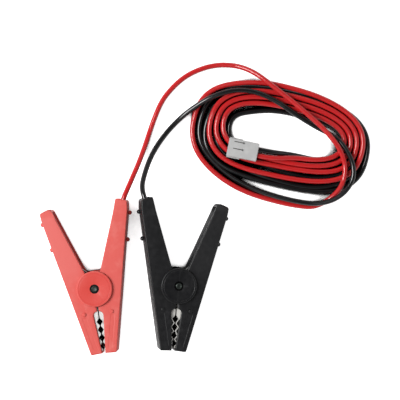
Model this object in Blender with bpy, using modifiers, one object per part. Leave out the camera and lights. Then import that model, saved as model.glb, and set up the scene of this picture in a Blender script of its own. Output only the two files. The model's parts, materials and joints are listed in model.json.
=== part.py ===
"""Battery clamp lead: two sprung, fully insulated clamps, red and black, on a
long two-core lead that is wound by hand and ends in a small two-way plug.

Metres, +Z up.  The part lies on the plane z = 0 with its origin under the
middle of the two clamps; the wound lead lies up and to the right of them.
"""
import math

import bpy
import bmesh
from mathutils import Matrix, Vector

# ---------------------------------------------------------------- clamp arms
# A clamp is drawn flat: the pivot at the origin, the handles up +Y, the jaws
# down -Y, and its thickness along Z.  Outlines are for the arm on +X.
JAW_LENGTH = 0.0372          # pivot to the tip of the jaws
WAIST = 0.0155               # pivot to the outer edge, level with the pivot
FLARE = 0.22                 # lean of the outer edge
HANDLE_BEND = 0.042          # where the outer edge turns in to the end
END_OUTER_X = 0.0252         # outer corner of the handle's end
END_OUTER_Y = 0.0470
END_INNER_X = 0.0188         # inner corner of the handle's end
END_INNER_Y = 0.0493
FREE_END_DROP = 0.0006       # the free handle is this much shorter
FREE_END_WALL = 0.0023       # and its end is closed by a wall
END_ROUND = 0.0014           # radius of the outer corner of both ends
CABLE_END_ROUND = 0.0010     # and of the inner corner of each handle
FREE_END_ROUND = 0.0020
BEND_ROUND = 0.0080          # radius of the handle's slow bends
TIP_ROUND = 0.0008
TIP_CHAMFER = 0.0004
THROAT_X = 0.0163            # bend near the end of the handle's inner edge
THROAT_Y = 0.0415
ROOT_X = 0.0044              # where the handle's inner edge starts
ROOT_Y = 0.0095
ARM_HALF_WIDTH = 0.0075      # half the thickness of an arm
ARM_WALL = 0.0018
TIP_WALL = 0.0016
TIP_GAP = 0.0009             # centre line to the plastic at the jaw tip
SLIT_HALF = 0.00055          # half the slit between the arms under the pivot
ARCH_Y = -0.0130             # top of the arched window over the teeth
ARCH_DEPTH = 0.0022
ARCH_STEPS = 7
WINDOW_TOP = 0.0028          # half width of that window, under its arch
WINDOW_TIP = 0.0010          # and just above the jaw tip
WINDOW_LIP = 0.0012          # height of the jaw tip's lip under it
EDGE_ROUND = 0.0006          # of the arms' long edges, above and below
OUTLET_FLARE = 0.0020        # the cable handle opens out towards its end
NOSE_LENGTH = 0.0062         # the free handle's end slopes thinner over this
NOSE_DROP = 0.0017

# --------------------------------------------------------------------- pivot
CLEARANCE = 0.0003           # running and seating clearance everywhere
EAR_RADIUS = 0.0085          # ears of the cable arm
DISC_RADIUS = 0.0102         # discs of the free arm, outside the ears
DISC_THICKNESS = 0.0018
DISC_ROUND = 0.0006
RIVET_RADIUS = 0.0012
RIVET_HEAD_RADIUS = 0.0017
RIVET_HEAD_HEIGHT = 0.0006
RIVET_DIMPLE = 0.0008
SINK_RADIUS = 0.0027         # sunk round seat of the rivet head
SINK_DEPTH = 0.0012
DISC_FACE = ARM_HALF_WIDTH + CLEARANCE + DISC_THICKNESS
SINK_FLOOR = DISC_FACE - SINK_DEPTH

# --------------------------------------------------------------- metal jaws
SHEET = 0.0010
TOOTH_COUNT = 5
FIRST_TOOTH_Y = -0.0166
TOOTH_PITCH = (JAW_LENGTH - TIP_WALL - CLEARANCE + FIRST_TOOTH_Y) / (TOOTH_COUNT - 0.93)
TOOTH_TIP = 0.00035          # centre line to a tooth's tip
TOOTH_ROOT = 0.0018          # centre line to a gap's corner
TOOTH_FLAT = 0.12            # share of the pitch that a tooth's flat tip takes
JAW_EAR_RADIUS = 0.0065
JAW_EAR_START = 60.0         # degrees: where the live jaw's ear leaves its back
JAW_HEEL = 0.0030            # how far the channel reaches above the pivot
JOGGLE_WIDTH = 0.0014
TAIL_HALF_WIDTH = 0.0030
TAIL_END = 0.0300
TAIL_RELIEF = 0.0001         # the tail is rolled this much thinner on each face
PIN_X = 0.0079               # the peg that holds a jaw in its arm
PIN_Y = -0.0138
PIN_RADIUS = 0.0008
PIN_HEAD_RADIUS = 0.0012
PIN_HEAD_HEIGHT = 0.0004
PIN_CROWN_RADIUS = 0.0007    # the flat top of its head

# ------------------------------------------------------------ torsion spring
SPRING_WIRE = 0.0011
SPRING_RADIUS = 0.0038       # to the middle of the wire
SPRING_PITCH = 0.0013        # at least, from one turn to the next
SPRING_ROOM = 0.0004         # between its outer turns and the ears
SPRING_POINTS = 10           # in each turn
CABLE_LEG_Y = 0.0185         # how far up the handles its legs reach
FREE_LEG_Y = 0.0220

# --------------------------------------------------------- grips on handles
NUB_RADIUS = 0.0013
NUB_PROUD = 0.0009           # the edge to a nub's middle
NUB_PLACES = (0.0250, 0.0400)

# -------------------------------------------------------------- lead and end
LEAD_DIAMETER = 0.0029
CONDUCTOR_RADIUS = 0.0010
SLEEVE_RADIUS = 0.0019
SLEEVE_BORE = 0.0013
SLEEVE_START = 0.0220        # along the handle
SLEEVE_LENGTH = 0.0075
CONDUCTOR_PROUD = 0.0010     # bare wire past each end of the sleeve
LEAD_STRAIGHT = 0.0030       # the lead leaves the crimp and the plug straight
MOUTH_INSET = 0.0008         # where it lies on the handle's wall, inside the mouth
DRIFT = 0.65                 # share of its run in the handle before it lies there

# ------------------------------------------------- where the clamps lie
RED_PIVOT = (-0.02189, -0.00724)
RED_YAW = 8.1                # degrees
RED_ROLL = -2.5
BLACK_PIVOT = (0.02428, -0.00548)
BLACK_YAW = -4.7
BLACK_ROLL = 188.5           # the black clamp lies on its other face

# ------------------------------------------------------------- two-way plug
PLUG_LENGTH = 0.0174
PLUG_WIDTH = 0.0104
PLUG_HEIGHT = 0.0064
PLUG_PLACE = (0.0618, 0.0717, 0.0100)
PLUG_TURN = -11.4            # degrees
BLACK_WAY = 0.00185          # middles of its two ways, across its width
RED_WAY = -0.00155
WAY_SIZE = 0.0027
WIRE_POCKET = 0.0016         # depth of the pocket that takes the two cores
HOUSING_ROUND = 0.0005
GROOVES = (0.0037, -0.0003)  # the two grooves in its top, across its width
GROOVE_LENGTH = 0.0056
GROOVE_WIDTH = 0.0005
GROOVE_DEPTH = 0.0005
PLUG_WINDOW = 0.0010         # square hole at the inner end of each groove
RAIL_LENGTH = 0.0075         # ribs on its two sides, from the mating end
RAIL_WIDTH = 0.0008
CONTACT_WALL = 0.00035
CONTACT_STEP = 0.0001        # the barrel is this much slimmer than the box
CONTACT_INSET = 0.0012       # the contacts sit back from the mating end
CONTACT_BOX = 0.6            # share of a contact that is square
FINE_BEVEL = 0.0002

# -------------------------------------------------------------- wound lead
# The loops lie in lanes between two rounded ovals: lane 0 is the innermost
# loop, lane 1 the outermost one of the bundle.  Turns are counted clockwise
# from the right-hand end of the ovals.
INNER_OVAL = (0.0867, 0.0821, 0.0340, 0.0126, -12.6)    # x, y, half sizes, turn
OUTER_OVAL = (0.0860, 0.0795, 0.0473, 0.0281, -13.5)
OVAL_POWER = 0.82            # below 1 fills out the ovals' corners
COIL_START = 0.2             # turns
COIL_END = 4.2
POINTS_PER_TURN = 24
TABLE_LAYER = 0.0015         # height of the lower layer's middle
LAYER_RISE = 0.0033
RED_LANE = 1.12
RED_LANE_STEP = 0.275        # lanes it moves in, each turn
RED_WIDE = 0.47              # how much wider the first half loop is thrown
RED_DRAWN_IN = (0.48, 0.36)  # the turn where it starts to come in, and over how much
RED_CLIMB = (0.52, 0.20)     # and where it climbs onto the black
RED_SPREAD = 0.08            # its last part eases out to the plug's way
RED_LEAVES = (4.0, 0.2)
BLACK_LANE = 1.14
BLACK_LANE_STEP = 0.30
BLACK_SWAY = 0.30            # its loops lie off centre by this many lanes
BLACK_SWAY_STEP = 0.03       # and by this many more, each turn
BLACK_SWAY_TURN = 0.1        # the turn where they lie furthest out
BLACK_BULGE = 0.42           # its first loops bulge out at the left-hand end
BLACK_BULGE_POWER = 6        # how short the bulge is
BLACK_BULGE_FADES = (1.6, 2.6)
BLACK_TUCK = 0.29            # its last part is tucked in under the red
BLACK_TUCKED = (3.85, 0.35)
BLACK_LANDS = (COIL_START, 0.14)
TAIL_REACH = 0.011           # how far the run into the plug keeps its heading
BLACK_START_LIFT = 0.0031    # it comes down onto the table from over the red
RED_END_LIFT = 0.0016        # the red leaves for the plug over its own loops

# The free stretches, chosen by hand from the handles' ends to the coil.
RED_ROUTE = (
    (-0.0029, 0.0517, 0.0100), (0.0020, 0.0634, 0.0066), (0.0053, 0.0725, 0.0034),
    (0.0079, 0.0805, 0.0018), (0.0110, 0.0895, 0.0016), (0.0156, 0.1000, 0.0016),
    (0.0215, 0.1075, 0.0016), (0.0285, 0.1137, 0.0016), (0.0374, 0.1182, 0.0016),
    (0.0480, 0.1207, 0.0017), (0.0594, 0.1198, 0.0031), (0.0685, 0.1159, 0.0067),
    (0.0760, 0.1105, 0.0084), (0.0837, 0.1045, 0.0085), (0.0920, 0.0978, 0.0090),
    (0.1002, 0.0907, 0.0100), (0.1076, 0.0839, 0.0104), (0.1136, 0.0771, 0.0107),
    (0.1180, 0.0703, 0.0096), (0.1203, 0.0630, 0.0085), (0.1199, 0.0560, 0.0086),
    (0.1178, 0.0500, 0.0068), (0.1138, 0.0453, 0.0037), (0.1085, 0.0415, 0.0017),
    (0.1036, 0.0394, 0.0016),
)
BLACK_ROUTE = (
    (0.0044, 0.0500, 0.0126), (0.0056, 0.0570, 0.0096), (0.0088, 0.0665, 0.0052),
    (0.0136, 0.0755, 0.0023), (0.0202, 0.0841, 0.0016), (0.0275, 0.0913, 0.0021),
    (0.0320, 0.0947, 0.0037), (0.0365, 0.0977, 0.0054), (0.0410, 0.1004, 0.0070),
    (0.0460, 0.1027, 0.0079), (0.0550, 0.1054, 0.0084), (0.0630, 0.1058, 0.0084),
    (0.0710, 0.1041, 0.0084), (0.0790, 0.1006, 0.0083), (0.0870, 0.0956, 0.0084),
    (0.0950, 0.0902, 0.0074), (0.1035, 0.0851, 0.0060), (0.1100, 0.0817, 0.0061),
    (0.1158, 0.0781, 0.0075), (0.1206, 0.0723, 0.0085), (0.1242, 0.0653, 0.0083),
    (0.1253, 0.0580, 0.0083), (0.1233, 0.0517, 0.0082), (0.1188, 0.0463, 0.0078),
    (0.1122, 0.0425, 0.0066), (0.1055, 0.0411, 0.0052),
)
ROUTE_SPACING = 0.0066       # between the points of a free stretch
FINE_STEPS = 16              # between two knots, to measure along
TAIL_POINTS = 8              # from the coil into the plug


# ------------------------------------------------------------- making things
def new_collection(name):
    made = bpy.data.collections.new(name)
    bpy.context.scene.collection.children.link(made)
    return made


def new_material(name, colour, roughness, metallic=0.0):
    made = bpy.data.materials.new(name)
    made.use_nodes = True
    shader = made.node_tree.nodes["Principled BSDF"]
    shader.inputs["Base Color"].default_value = (*colour, 1.0)
    shader.inputs["Roughness"].default_value = roughness
    shader.inputs["Metallic"].default_value = metallic
    return made


def new_empty(name, parent=None):
    made = bpy.data.objects.new(name, None)
    made.parent = parent
    PARTS.objects.link(made)
    return made


def place(name, data, parent):
    """An object for the mesh or curve, under its parent, in the part."""
    made = bpy.data.objects.new(name, data)
    made.parent = parent
    PARTS.objects.link(made)
    return made


def finish(part, material, smooth_angle=35.0):
    """The part's own material, and smooth shading where it is round."""
    part.data.materials.clear()
    part.data.materials.append(material)
    if part.type == "MESH":
        part.data.shade_smooth()
        part.data.set_sharp_from_angle(angle=math.radians(smooth_angle))


def as_tool(tool):
    """Take an object out of the part: it only cuts or joins another one."""
    PARTS.objects.unlink(tool)
    TOOLS.objects.link(tool)
    tool.hide_render = True
    tool.display_type = "WIRE"


def combine(body, tool, operation):
    as_tool(tool)
    modifier = body.modifiers.new(tool.name, "BOOLEAN")
    modifier.operation = operation
    modifier.solver = "EXACT"
    modifier.object = tool


def cut(body, *tools):
    for tool in tools:
        combine(body, tool, "DIFFERENCE")


def fuse(body, *tools):
    for tool in tools:
        combine(body, tool, "UNION")


def round_edges(body, width, segments=2):
    modifier = body.modifiers.new("rounded_edges", "BEVEL")
    modifier.width = width
    modifier.segments = segments
    modifier.limit_method = "ANGLE"
    modifier.angle_limit = math.radians(50.0)


def mesh_object(name, shape, parent):
    """Turn a finished bmesh into an object."""
    mesh = bpy.data.meshes.new(name)
    shape.to_mesh(mesh)
    shape.free()
    return place(name, mesh, parent)


def drum(name, radius, low, high, parent, centre=(0.0, 0.0), segments=32):
    """A cylinder along Z."""
    shape = bmesh.new()
    middle = Matrix.Translation((*centre, (low + high) / 2))
    bmesh.ops.create_cone(shape, cap_ends=True, segments=segments, radius1=radius,
                          radius2=radius, depth=high - low, matrix=middle)
    return mesh_object(name, shape, parent)


def block(name, size, centre, parent, turn=(0.0, 0.0, 0.0)):
    """A box, turned about its own middle by angles in radians."""
    shape = bmesh.new()
    sized = Matrix.Diagonal((*size, 1.0))
    turned_by = Matrix.Rotation(turn[2], 4, "Z") @ Matrix.Rotation(turn[0], 4, "X")
    bmesh.ops.create_cube(shape, size=1.0, matrix=Matrix.Translation(centre) @ turned_by @ sized)
    return mesh_object(name, shape, parent)


def ball(name, radius, centre, parent):
    shape = bmesh.new()
    bmesh.ops.create_uvsphere(shape, u_segments=10, v_segments=6, radius=radius,
                              matrix=Matrix.Translation(centre))
    return mesh_object(name, shape, parent)


def plate(name, outline, low, high, parent, edge_round=0.0):
    """A flat outline as a solid between two heights, its edges sharp or rounded."""
    curve = bpy.data.curves.new(name, "CURVE")
    curve.dimensions = "2D"
    curve.fill_mode = "BOTH"
    curve.extrude = (high - low) / 2 - edge_round
    curve.bevel_depth = edge_round
    curve.bevel_resolution = 1
    curve.offset = -edge_round
    spline = curve.splines.new("POLY")
    spline.points.add(len(outline) - 1)
    for point, (x, y) in zip(spline.points, outline):
        point.co = (x, y, 0.0, 1.0)
    spline.use_cyclic_u = True
    drawn = place(name + "_outline", curve, None)
    bpy.context.view_layer.update()
    evaluated = drawn.evaluated_get(bpy.context.evaluated_depsgraph_get())
    mesh = bpy.data.meshes.new_from_object(evaluated)
    bpy.data.objects.remove(drawn)
    mesh.name = name
    shape = bmesh.new()
    shape.from_mesh(mesh)
    bmesh.ops.remove_doubles(shape, verts=shape.verts, dist=0.000001)
    bmesh.ops.translate(shape, verts=shape.verts, vec=(0.0, 0.0, (low + high) / 2))
    shape.to_mesh(mesh)
    shape.free()
    return place(name, mesh, parent)


def turned(name, profile, parent, centre=(0.0, 0.0), steps=20):
    """A turned piece: its profile runs down the outside, from top to bottom."""
    mesh = bpy.data.meshes.new(name)
    edges = [(index, index + 1) for index in range(len(profile) - 1)]
    mesh.from_pydata([(radius, 0.0, height) for radius, height in profile], edges, [])
    made = place(name, mesh, parent)
    made.location = (*centre, 0.0)
    screw = made.modifiers.new("turned", "SCREW")
    screw.steps = steps
    screw.render_steps = steps
    screw.use_merge_vertices = True
    screw.merge_threshold = 0.00001
    return made


def tube(name, points, diameter, resolution, parent=None):
    """A wire or lead of one thickness through the points."""
    curve = bpy.data.curves.new(name, "CURVE")
    curve.dimensions = "3D"
    curve.bevel_depth = diameter / 2
    curve.bevel_resolution = resolution
    curve.use_fill_caps = True
    spline = curve.splines.new("POLY")
    spline.points.add(len(points) - 1)
    for knot, point in zip(spline.points, points):
        knot.co = (*point, 1.0)
    return place(name, curve, parent)


# ------------------------------------------------------------------ outlines
def arc(radius, start, end, steps, centre=(0.0, 0.0)):
    """Points along an arc, angles in degrees."""
    made = []
    for index in range(steps + 1):
        angle = math.radians(start + (end - start) * index / steps)
        made.append((centre[0] + radius * math.cos(angle), centre[1] + radius * math.sin(angle)))
    return made


def rounded(corners, steps=3):
    """Points of an open line whose corners, (x, y, radius), are rounded or sharp."""
    made = [corners[0][:2]]
    for before, corner, after in zip(corners, corners[1:], corners[2:]):
        if corner[2] == 0.0:
            made.append(corner[:2])
            continue
        point = Vector(corner[:2])
        back = (Vector(before[:2]) - point).normalized()
        ahead = (Vector(after[:2]) - point).normalized()
        half = back.angle(ahead) / 2
        centre = point + (back + ahead).normalized() * corner[2] / math.sin(half)
        reach = corner[2] / math.tan(half)
        first = point + back * reach - centre
        last = point + ahead * reach - centre
        bend = first.angle_signed(last)
        for index in range(steps + 1):
            spoke = Matrix.Rotation(-bend * index / steps, 2) @ first
            made.append(tuple(centre + spoke))
    made.append(corners[-1][:2])
    return made


def mirrored(outline):
    """The same outline on the other side of the clamp."""
    return [(-x, y) for x, y in reversed(outline)]


def outer_edge(y, inset=0.0):
    """X of the arm's outer edge at y, or of a line inside it."""
    return WAIST + FLARE * y - inset * math.hypot(1.0, FLARE)


def along_edge(y, inset):
    """A point that lies inset from the outer edge, in the clamp's mid plane."""
    return Vector((outer_edge(y, inset), y, 0.0))


ROOT_ANGLE = 65.0            # degrees: where the handle's edge meets the ear
RING_MARGIN = 6.0            # degrees that a web stops short of the edges beside it
EAR_MARGIN = 2.0


def slit_angle(radius, half_gap):
    """Degrees, below the pivot, where a circle meets the slit."""
    return -90.0 + math.degrees(math.asin(half_gap / radius))


def arm_outline(round_pivot, end_drop, inner_round):
    """The arm seen flat, anticlockwise, closed by the points round the pivot."""
    tip = -JAW_LENGTH
    outside = rounded([
        (WINDOW_TIP, tip + WINDOW_LIP, 0.0),
        (TIP_GAP, tip + TIP_CHAMFER, 0.0),
        (outer_edge(tip), tip, TIP_ROUND),
        (outer_edge(HANDLE_BEND), HANDLE_BEND, BEND_ROUND),
        (END_OUTER_X, END_OUTER_Y - end_drop, END_ROUND),
        (END_INNER_X, END_INNER_Y - end_drop, inner_round),
        (THROAT_X, THROAT_Y, BEND_ROUND),
        (ROOT_X, ROOT_Y, 0.0),
    ])
    arch = []
    for step in range(ARCH_STEPS + 1):
        angle = math.radians(90.0 * step / ARCH_STEPS)
        arch.append((SLIT_HALF + (WINDOW_TOP - SLIT_HALF) * math.sin(angle),
                     ARCH_Y - ARCH_DEPTH * (1.0 - math.cos(angle))))
    return outside + round_pivot + arch


def channel_outline(inset, tip_wall, end_corners):
    """What is hollowed out of an arm or a jaw, inside its outer web."""
    bottom = tip_wall - JAW_LENGTH
    far_side = -DISC_RADIUS - ARM_WALL
    return [(far_side, bottom), (outer_edge(bottom, inset), bottom)] + end_corners


def teeth_line(top):
    """The zig-zag edge of a jaw, from the slit at the top down to the tip."""
    line = [(TOOTH_TIP, top)]
    for tooth in range(TOOTH_COUNT):
        crest = FIRST_TOOTH_Y - TOOTH_PITCH * tooth
        line.append((TOOTH_TIP, crest + TOOTH_PITCH * TOOTH_FLAT / 2))
        line.append((TOOTH_TIP, crest - TOOTH_PITCH * TOOTH_FLAT / 2))
        line.append((TOOTH_ROOT, crest - TOOTH_PITCH / 2))
    return line[:-1]


# ------------------------------------------------------------ pieces of a clamp
def drill_pivot(body, name, reach, parent):
    cut(body, drum(name + "_bore", RIVET_RADIUS + CLEARANCE, -reach, reach, parent, segments=16))


def drill_peg(body, name, side, gap, parent):
    """The hole for the peg through an arm's cheeks and its jaw."""
    cut(body, drum(name + "_peg_hole", PIN_RADIUS + gap, -DISC_FACE, DISC_FACE, parent,
                   (side * PIN_X, PIN_Y), segments=12))


def add_nubs(arm, name, side, parent):
    """The two round pips on the outer edge of a handle."""
    for index, y in enumerate(NUB_PLACES):
        centre = (side * (outer_edge(y) + NUB_PROUD), y, 0.0)
        fuse(arm, ball(f"{name}_nub_{index}", NUB_RADIUS, centre, parent))


def make_cable_arm(colour, clamp, plastic):
    """The arm that takes the lead: a moulded channel with two round ears."""
    name = colour + "_cable_arm"
    end = slit_angle(EAR_RADIUS, SLIT_HALF) + 360.0
    outline = arm_outline(arc(EAR_RADIUS, ROOT_ANGLE, end, 20), 0.0, CABLE_END_ROUND)
    arm = plate(name, outline, -ARM_HALF_WIDTH, ARM_HALF_WIDTH, clamp, EDGE_ROUND)
    inside = ARM_HALF_WIDTH - ARM_WALL
    bend_x = outer_edge(HANDLE_BEND, ARM_WALL)
    past_end = END_INNER_Y + 2 * ARM_WALL
    open_end = [(bend_x, HANDLE_BEND), (bend_x + OUTLET_FLARE, past_end), (-DISC_RADIUS, past_end)]
    channel = channel_outline(ARM_WALL, TIP_WALL, open_end)
    cut(arm, plate(name + "_channel", channel, -inside, inside, clamp))
    drill_pivot(arm, name, DISC_FACE, clamp)
    drill_peg(arm, name, 1.0, CLEARANCE, clamp)
    add_nubs(arm, name, 1.0, clamp)
    finish(arm, plastic)
    return arm


def disc_profile(face):
    """A disc of the free arm, its outer rim rounded: the upper or lower one."""
    seat = ARM_HALF_WIDTH + CLEARANCE
    profile = [(0.0, DISC_FACE)]
    for x, y in arc(DISC_ROUND, 90.0, 0.0, 2, (DISC_RADIUS - DISC_ROUND, DISC_FACE - DISC_ROUND)):
        profile.append((x, y))
    profile += [(DISC_RADIUS, seat), (0.0, seat)]
    if face < 0:
        profile = [(radius, -height) for radius, height in reversed(profile)]
    return profile


def make_free_arm(colour, hinge, plastic):
    """The arm that swings: it carries the discs that cover the ears."""
    name = colour + "_free_arm"
    clear_radius = EAR_RADIUS + CLEARANCE
    start = slit_angle(clear_radius, SLIT_HALF)
    ear_gap = arc(clear_radius, ROOT_ANGLE, start, 14)
    outline = mirrored(arm_outline(ear_gap, FREE_END_DROP, FREE_END_ROUND))
    arm = plate(name, outline, -ARM_HALF_WIDTH, ARM_HALF_WIDTH, hinge, EDGE_ROUND)
    inside = ARM_HALF_WIDTH - ARM_WALL
    bend_x = outer_edge(HANDLE_BEND, ARM_WALL)
    top = END_INNER_Y - FREE_END_DROP - FREE_END_WALL
    closed_end = [(bend_x, HANDLE_BEND),
                  (END_OUTER_X - ARM_WALL, END_OUTER_Y - FREE_END_DROP - ARM_WALL),
                  (END_INNER_X, top), (-DISC_RADIUS, top)]
    channel = mirrored(channel_outline(ARM_WALL, TIP_WALL, closed_end))
    cut(arm, plate(name + "_channel", channel, -inside, inside, hinge))
    slope = math.atan2(NOSE_DROP, NOSE_LENGTH)
    slab = 4 * NOSE_DROP
    reach = 4 * NOSE_LENGTH
    for face in (-1.0, 1.0):
        low = ARM_HALF_WIDTH - NOSE_DROP / 2 + slab / 2 / math.cos(slope)
        centre = (-END_INNER_X, END_INNER_Y - NOSE_LENGTH / 2, face * low)
        cut(arm, block(f"{name}_nose_{face:+.0f}", (reach, reach, slab), centre, hinge,
                       (-face * slope, 0.0, 0.0)))
    ring_inner = clear_radius + EDGE_ROUND / 2
    ring_outer = DISC_RADIUS - DISC_ROUND
    root = 180.0 - ROOT_ANGLE + RING_MARGIN
    slit = 180.0 - start - RING_MARGIN
    ring = arc(ring_outer, root, slit, 10) + arc(ring_inner, slit, root, 10)
    under = ARM_HALF_WIDTH - ARM_WALL / 2
    over = ARM_HALF_WIDTH + CLEARANCE + DISC_THICKNESS / 2
    for face in (-1.0, 1.0):
        low, high = sorted((face * under, face * over))
        fuse(arm, plate(f"{name}_ring_{face:+.0f}", ring, low, high, hinge))
        fuse(arm, turned(f"{name}_disc_{face:+.0f}", disc_profile(face), hinge, steps=32))
        low, high = sorted((face * SINK_FLOOR, face * (DISC_FACE + DISC_THICKNESS)))
        cut(arm, drum(f"{name}_sink_{face:+.0f}", SINK_RADIUS, low, high, hinge, segments=20))
    drill_pivot(arm, name, DISC_FACE, hinge)
    drill_peg(arm, name, -1.0, CLEARANCE, hinge)
    add_nubs(arm, name, -1.0, hinge)
    finish(arm, plastic)
    return arm


JAW_INSET = ARM_WALL + CLEARANCE            # outer edge to the metal's back
LEG_OUTSIDE = ARM_HALF_WIDTH - ARM_WALL - CLEARANCE
LEG_INSIDE = LEG_OUTSIDE - SHEET
INNER_EAR_OUTSIDE = LEG_INSIDE - CLEARANCE
INNER_EAR_INSIDE = INNER_EAR_OUTSIDE - SHEET


def jaw_outline(round_pivot):
    """A metal jaw seen flat, anticlockwise from its tip."""
    tip = TIP_WALL + CLEARANCE - JAW_LENGTH
    back = [(TOOTH_TIP, tip), (outer_edge(tip, JAW_INSET), tip),
            (outer_edge(JAW_HEEL, JAW_INSET), JAW_HEEL)]
    return back + round_pivot + teeth_line(ARCH_Y)


def hollow_jaw(jaw, name, side, parent):
    """Take the inside out of the jaw's channel: a back and two toothed legs."""
    inset = JAW_INSET + SHEET
    top = JAW_EAR_RADIUS + SHEET
    channel = channel_outline(inset, 0.0, [(outer_edge(top, inset), top), (-DISC_RADIUS, top)])
    if side < 0:
        channel = mirrored(channel)
    cut(jaw, plate(name + "_channel", channel, -LEG_INSIDE, LEG_INSIDE, parent))


def make_cable_jaw(colour, clamp, metal):
    """The live jaw: toothed channel, ears on the rivet and a tail to the crimp."""
    name = colour + "_cable_jaw"
    end = slit_angle(JAW_EAR_RADIUS, TOOTH_TIP) + 360.0
    outline = jaw_outline(arc(JAW_EAR_RADIUS, JAW_EAR_START, end, 14))
    jaw = plate(name, outline, -LEG_OUTSIDE, LEG_OUTSIDE, clamp)
    hollow_jaw(jaw, name, 1.0, clamp)
    foot = JAW_HEEL - 2 * SHEET
    back, front = JAW_INSET + TAIL_RELIEF, JAW_INSET + SHEET - TAIL_RELIEF
    tail = [(outer_edge(foot, front), foot), (outer_edge(foot, back), foot),
            (outer_edge(TAIL_END, back), TAIL_END), (outer_edge(TAIL_END, front), TAIL_END)]
    fuse(jaw, plate(name + "_tail", tail, -TAIL_HALF_WIDTH, TAIL_HALF_WIDTH, clamp))
    drill_pivot(jaw, name, DISC_FACE, clamp)
    drill_peg(jaw, name, 1.0, CLEARANCE / 2, clamp)
    finish(jaw, metal)
    return jaw


def make_free_jaw(colour, hinge, metal):
    """The other jaw: its ears are stepped in, to turn between the first one's."""
    name = colour + "_free_jaw"
    clear = JAW_EAR_RADIUS + CLEARANCE
    start = slit_angle(clear, TOOTH_TIP)
    heel_angle = math.degrees(math.asin(JAW_HEEL / clear))
    outline = mirrored(jaw_outline(arc(clear, heel_angle, start, 8)))
    jaw = plate(name, outline, -LEG_OUTSIDE, LEG_OUTSIDE, hinge)
    hollow_jaw(jaw, name, -1.0, hinge)
    step_inner = clear + CLEARANCE
    step_outer = step_inner + JOGGLE_WIDTH
    first = heel_angle - RING_MARGIN
    last = start + RING_MARGIN
    step = mirrored(arc(step_outer, last, first, 6) + arc(step_inner, first, last, 6))
    ear_first, ear_last = first + EAR_MARGIN, last - EAR_MARGIN
    shoulder = arc(step_outer - CLEARANCE / 2, ear_last, ear_first, 7)
    ear = arc(JAW_EAR_RADIUS, ear_first, 360.0 + ear_last, 14) + shoulder
    for face in (-1.0, 1.0):
        low, high = sorted((face * INNER_EAR_INSIDE, face * INNER_EAR_OUTSIDE))
        fuse(jaw, plate(f"{name}_ear_{face:+.0f}", mirrored(ear), low, high, hinge))
        low, high = sorted((face * (INNER_EAR_INSIDE + SHEET / 4),
                            face * (LEG_OUTSIDE - SHEET / 4)))
        fuse(jaw, plate(f"{name}_step_{face:+.0f}", step, low, high, hinge))
    drill_pivot(jaw, name, DISC_FACE, hinge)
    drill_peg(jaw, name, -1.0, CLEARANCE / 2, hinge)
    finish(jaw, metal)
    return jaw


def make_rivet(colour, clamp, metal):
    """The pivot: a rivet whose two heads are sunk in the discs."""
    under_head = SINK_FLOOR + CLEARANCE
    top = under_head + RIVET_HEAD_HEIGHT
    half = [(0.0, top - RIVET_DIMPLE / 2), (RIVET_DIMPLE, top), (RIVET_HEAD_RADIUS, top),
            (RIVET_HEAD_RADIUS, under_head), (RIVET_RADIUS, under_head)]
    profile = half + [(radius, -height) for radius, height in reversed(half)]
    rivet = turned(colour + "_pivot_rivet", profile, clamp)
    finish(rivet, metal)


def make_jaw_pin(name, side, parent, plastic):
    """A moulded peg through an arm's cheeks, which keeps the jaw in it."""
    under_head = ARM_HALF_WIDTH + CLEARANCE
    top = under_head + PIN_HEAD_HEIGHT
    half = [(0.0, top), (PIN_CROWN_RADIUS, top), (PIN_HEAD_RADIUS, under_head),
            (PIN_RADIUS, under_head)]
    profile = half + [(radius, -height) for radius, height in reversed(half)]
    finish(turned(name, profile, parent, (side * PIN_X, PIN_Y), steps=12), plastic)


def leg_tangent(tip):
    """Degrees round the spring where a straight leg to the tip leaves it."""
    angle = math.degrees(math.atan2(tip[1], tip[0]))
    swing = math.degrees(math.acos(SPRING_RADIUS / math.hypot(*tip)))
    return angle + swing if tip[0] > 0 else angle - swing


def make_spring(colour, clamp, metal):
    """The torsion spring on the rivet: its legs push the two handles apart."""
    beside = CLEARANCE + SPRING_WIRE / 2
    cable_tip = along_edge(CABLE_LEG_Y, JAW_INSET + SHEET + beside).xy
    free_tip = along_edge(FREE_LEG_Y, ARM_WALL + beside).xy
    free_tip.x = -free_tip.x
    half_height = INNER_EAR_INSIDE - SPRING_ROOM - SPRING_WIRE / 2
    first = leg_tangent(free_tip)
    part_turn = (first - leg_tangent(cable_tip)) / 360.0
    whole_turns = math.floor(2 * half_height / SPRING_PITCH - part_turn)
    last = leg_tangent(cable_tip) - 360.0 * whole_turns
    steps = round((first - last) / 360.0 * SPRING_POINTS)
    points = [(*free_tip, -half_height)]
    for index, (x, y) in enumerate(arc(SPRING_RADIUS, first, last, steps)):
        points.append((x, y, half_height * (2 * index / steps - 1)))
    points.append((*cable_tip, half_height))
    spring = tube(colour + "_torsion_spring", points, SPRING_WIRE, 1, clamp)
    finish(spring, metal)


CRIMP_INSET = JAW_INSET + SHEET + CLEARANCE + SLEEVE_RADIUS
EDGE_DIRECTION = Vector((FLARE, 1.0, 0.0)).normalized()


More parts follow.
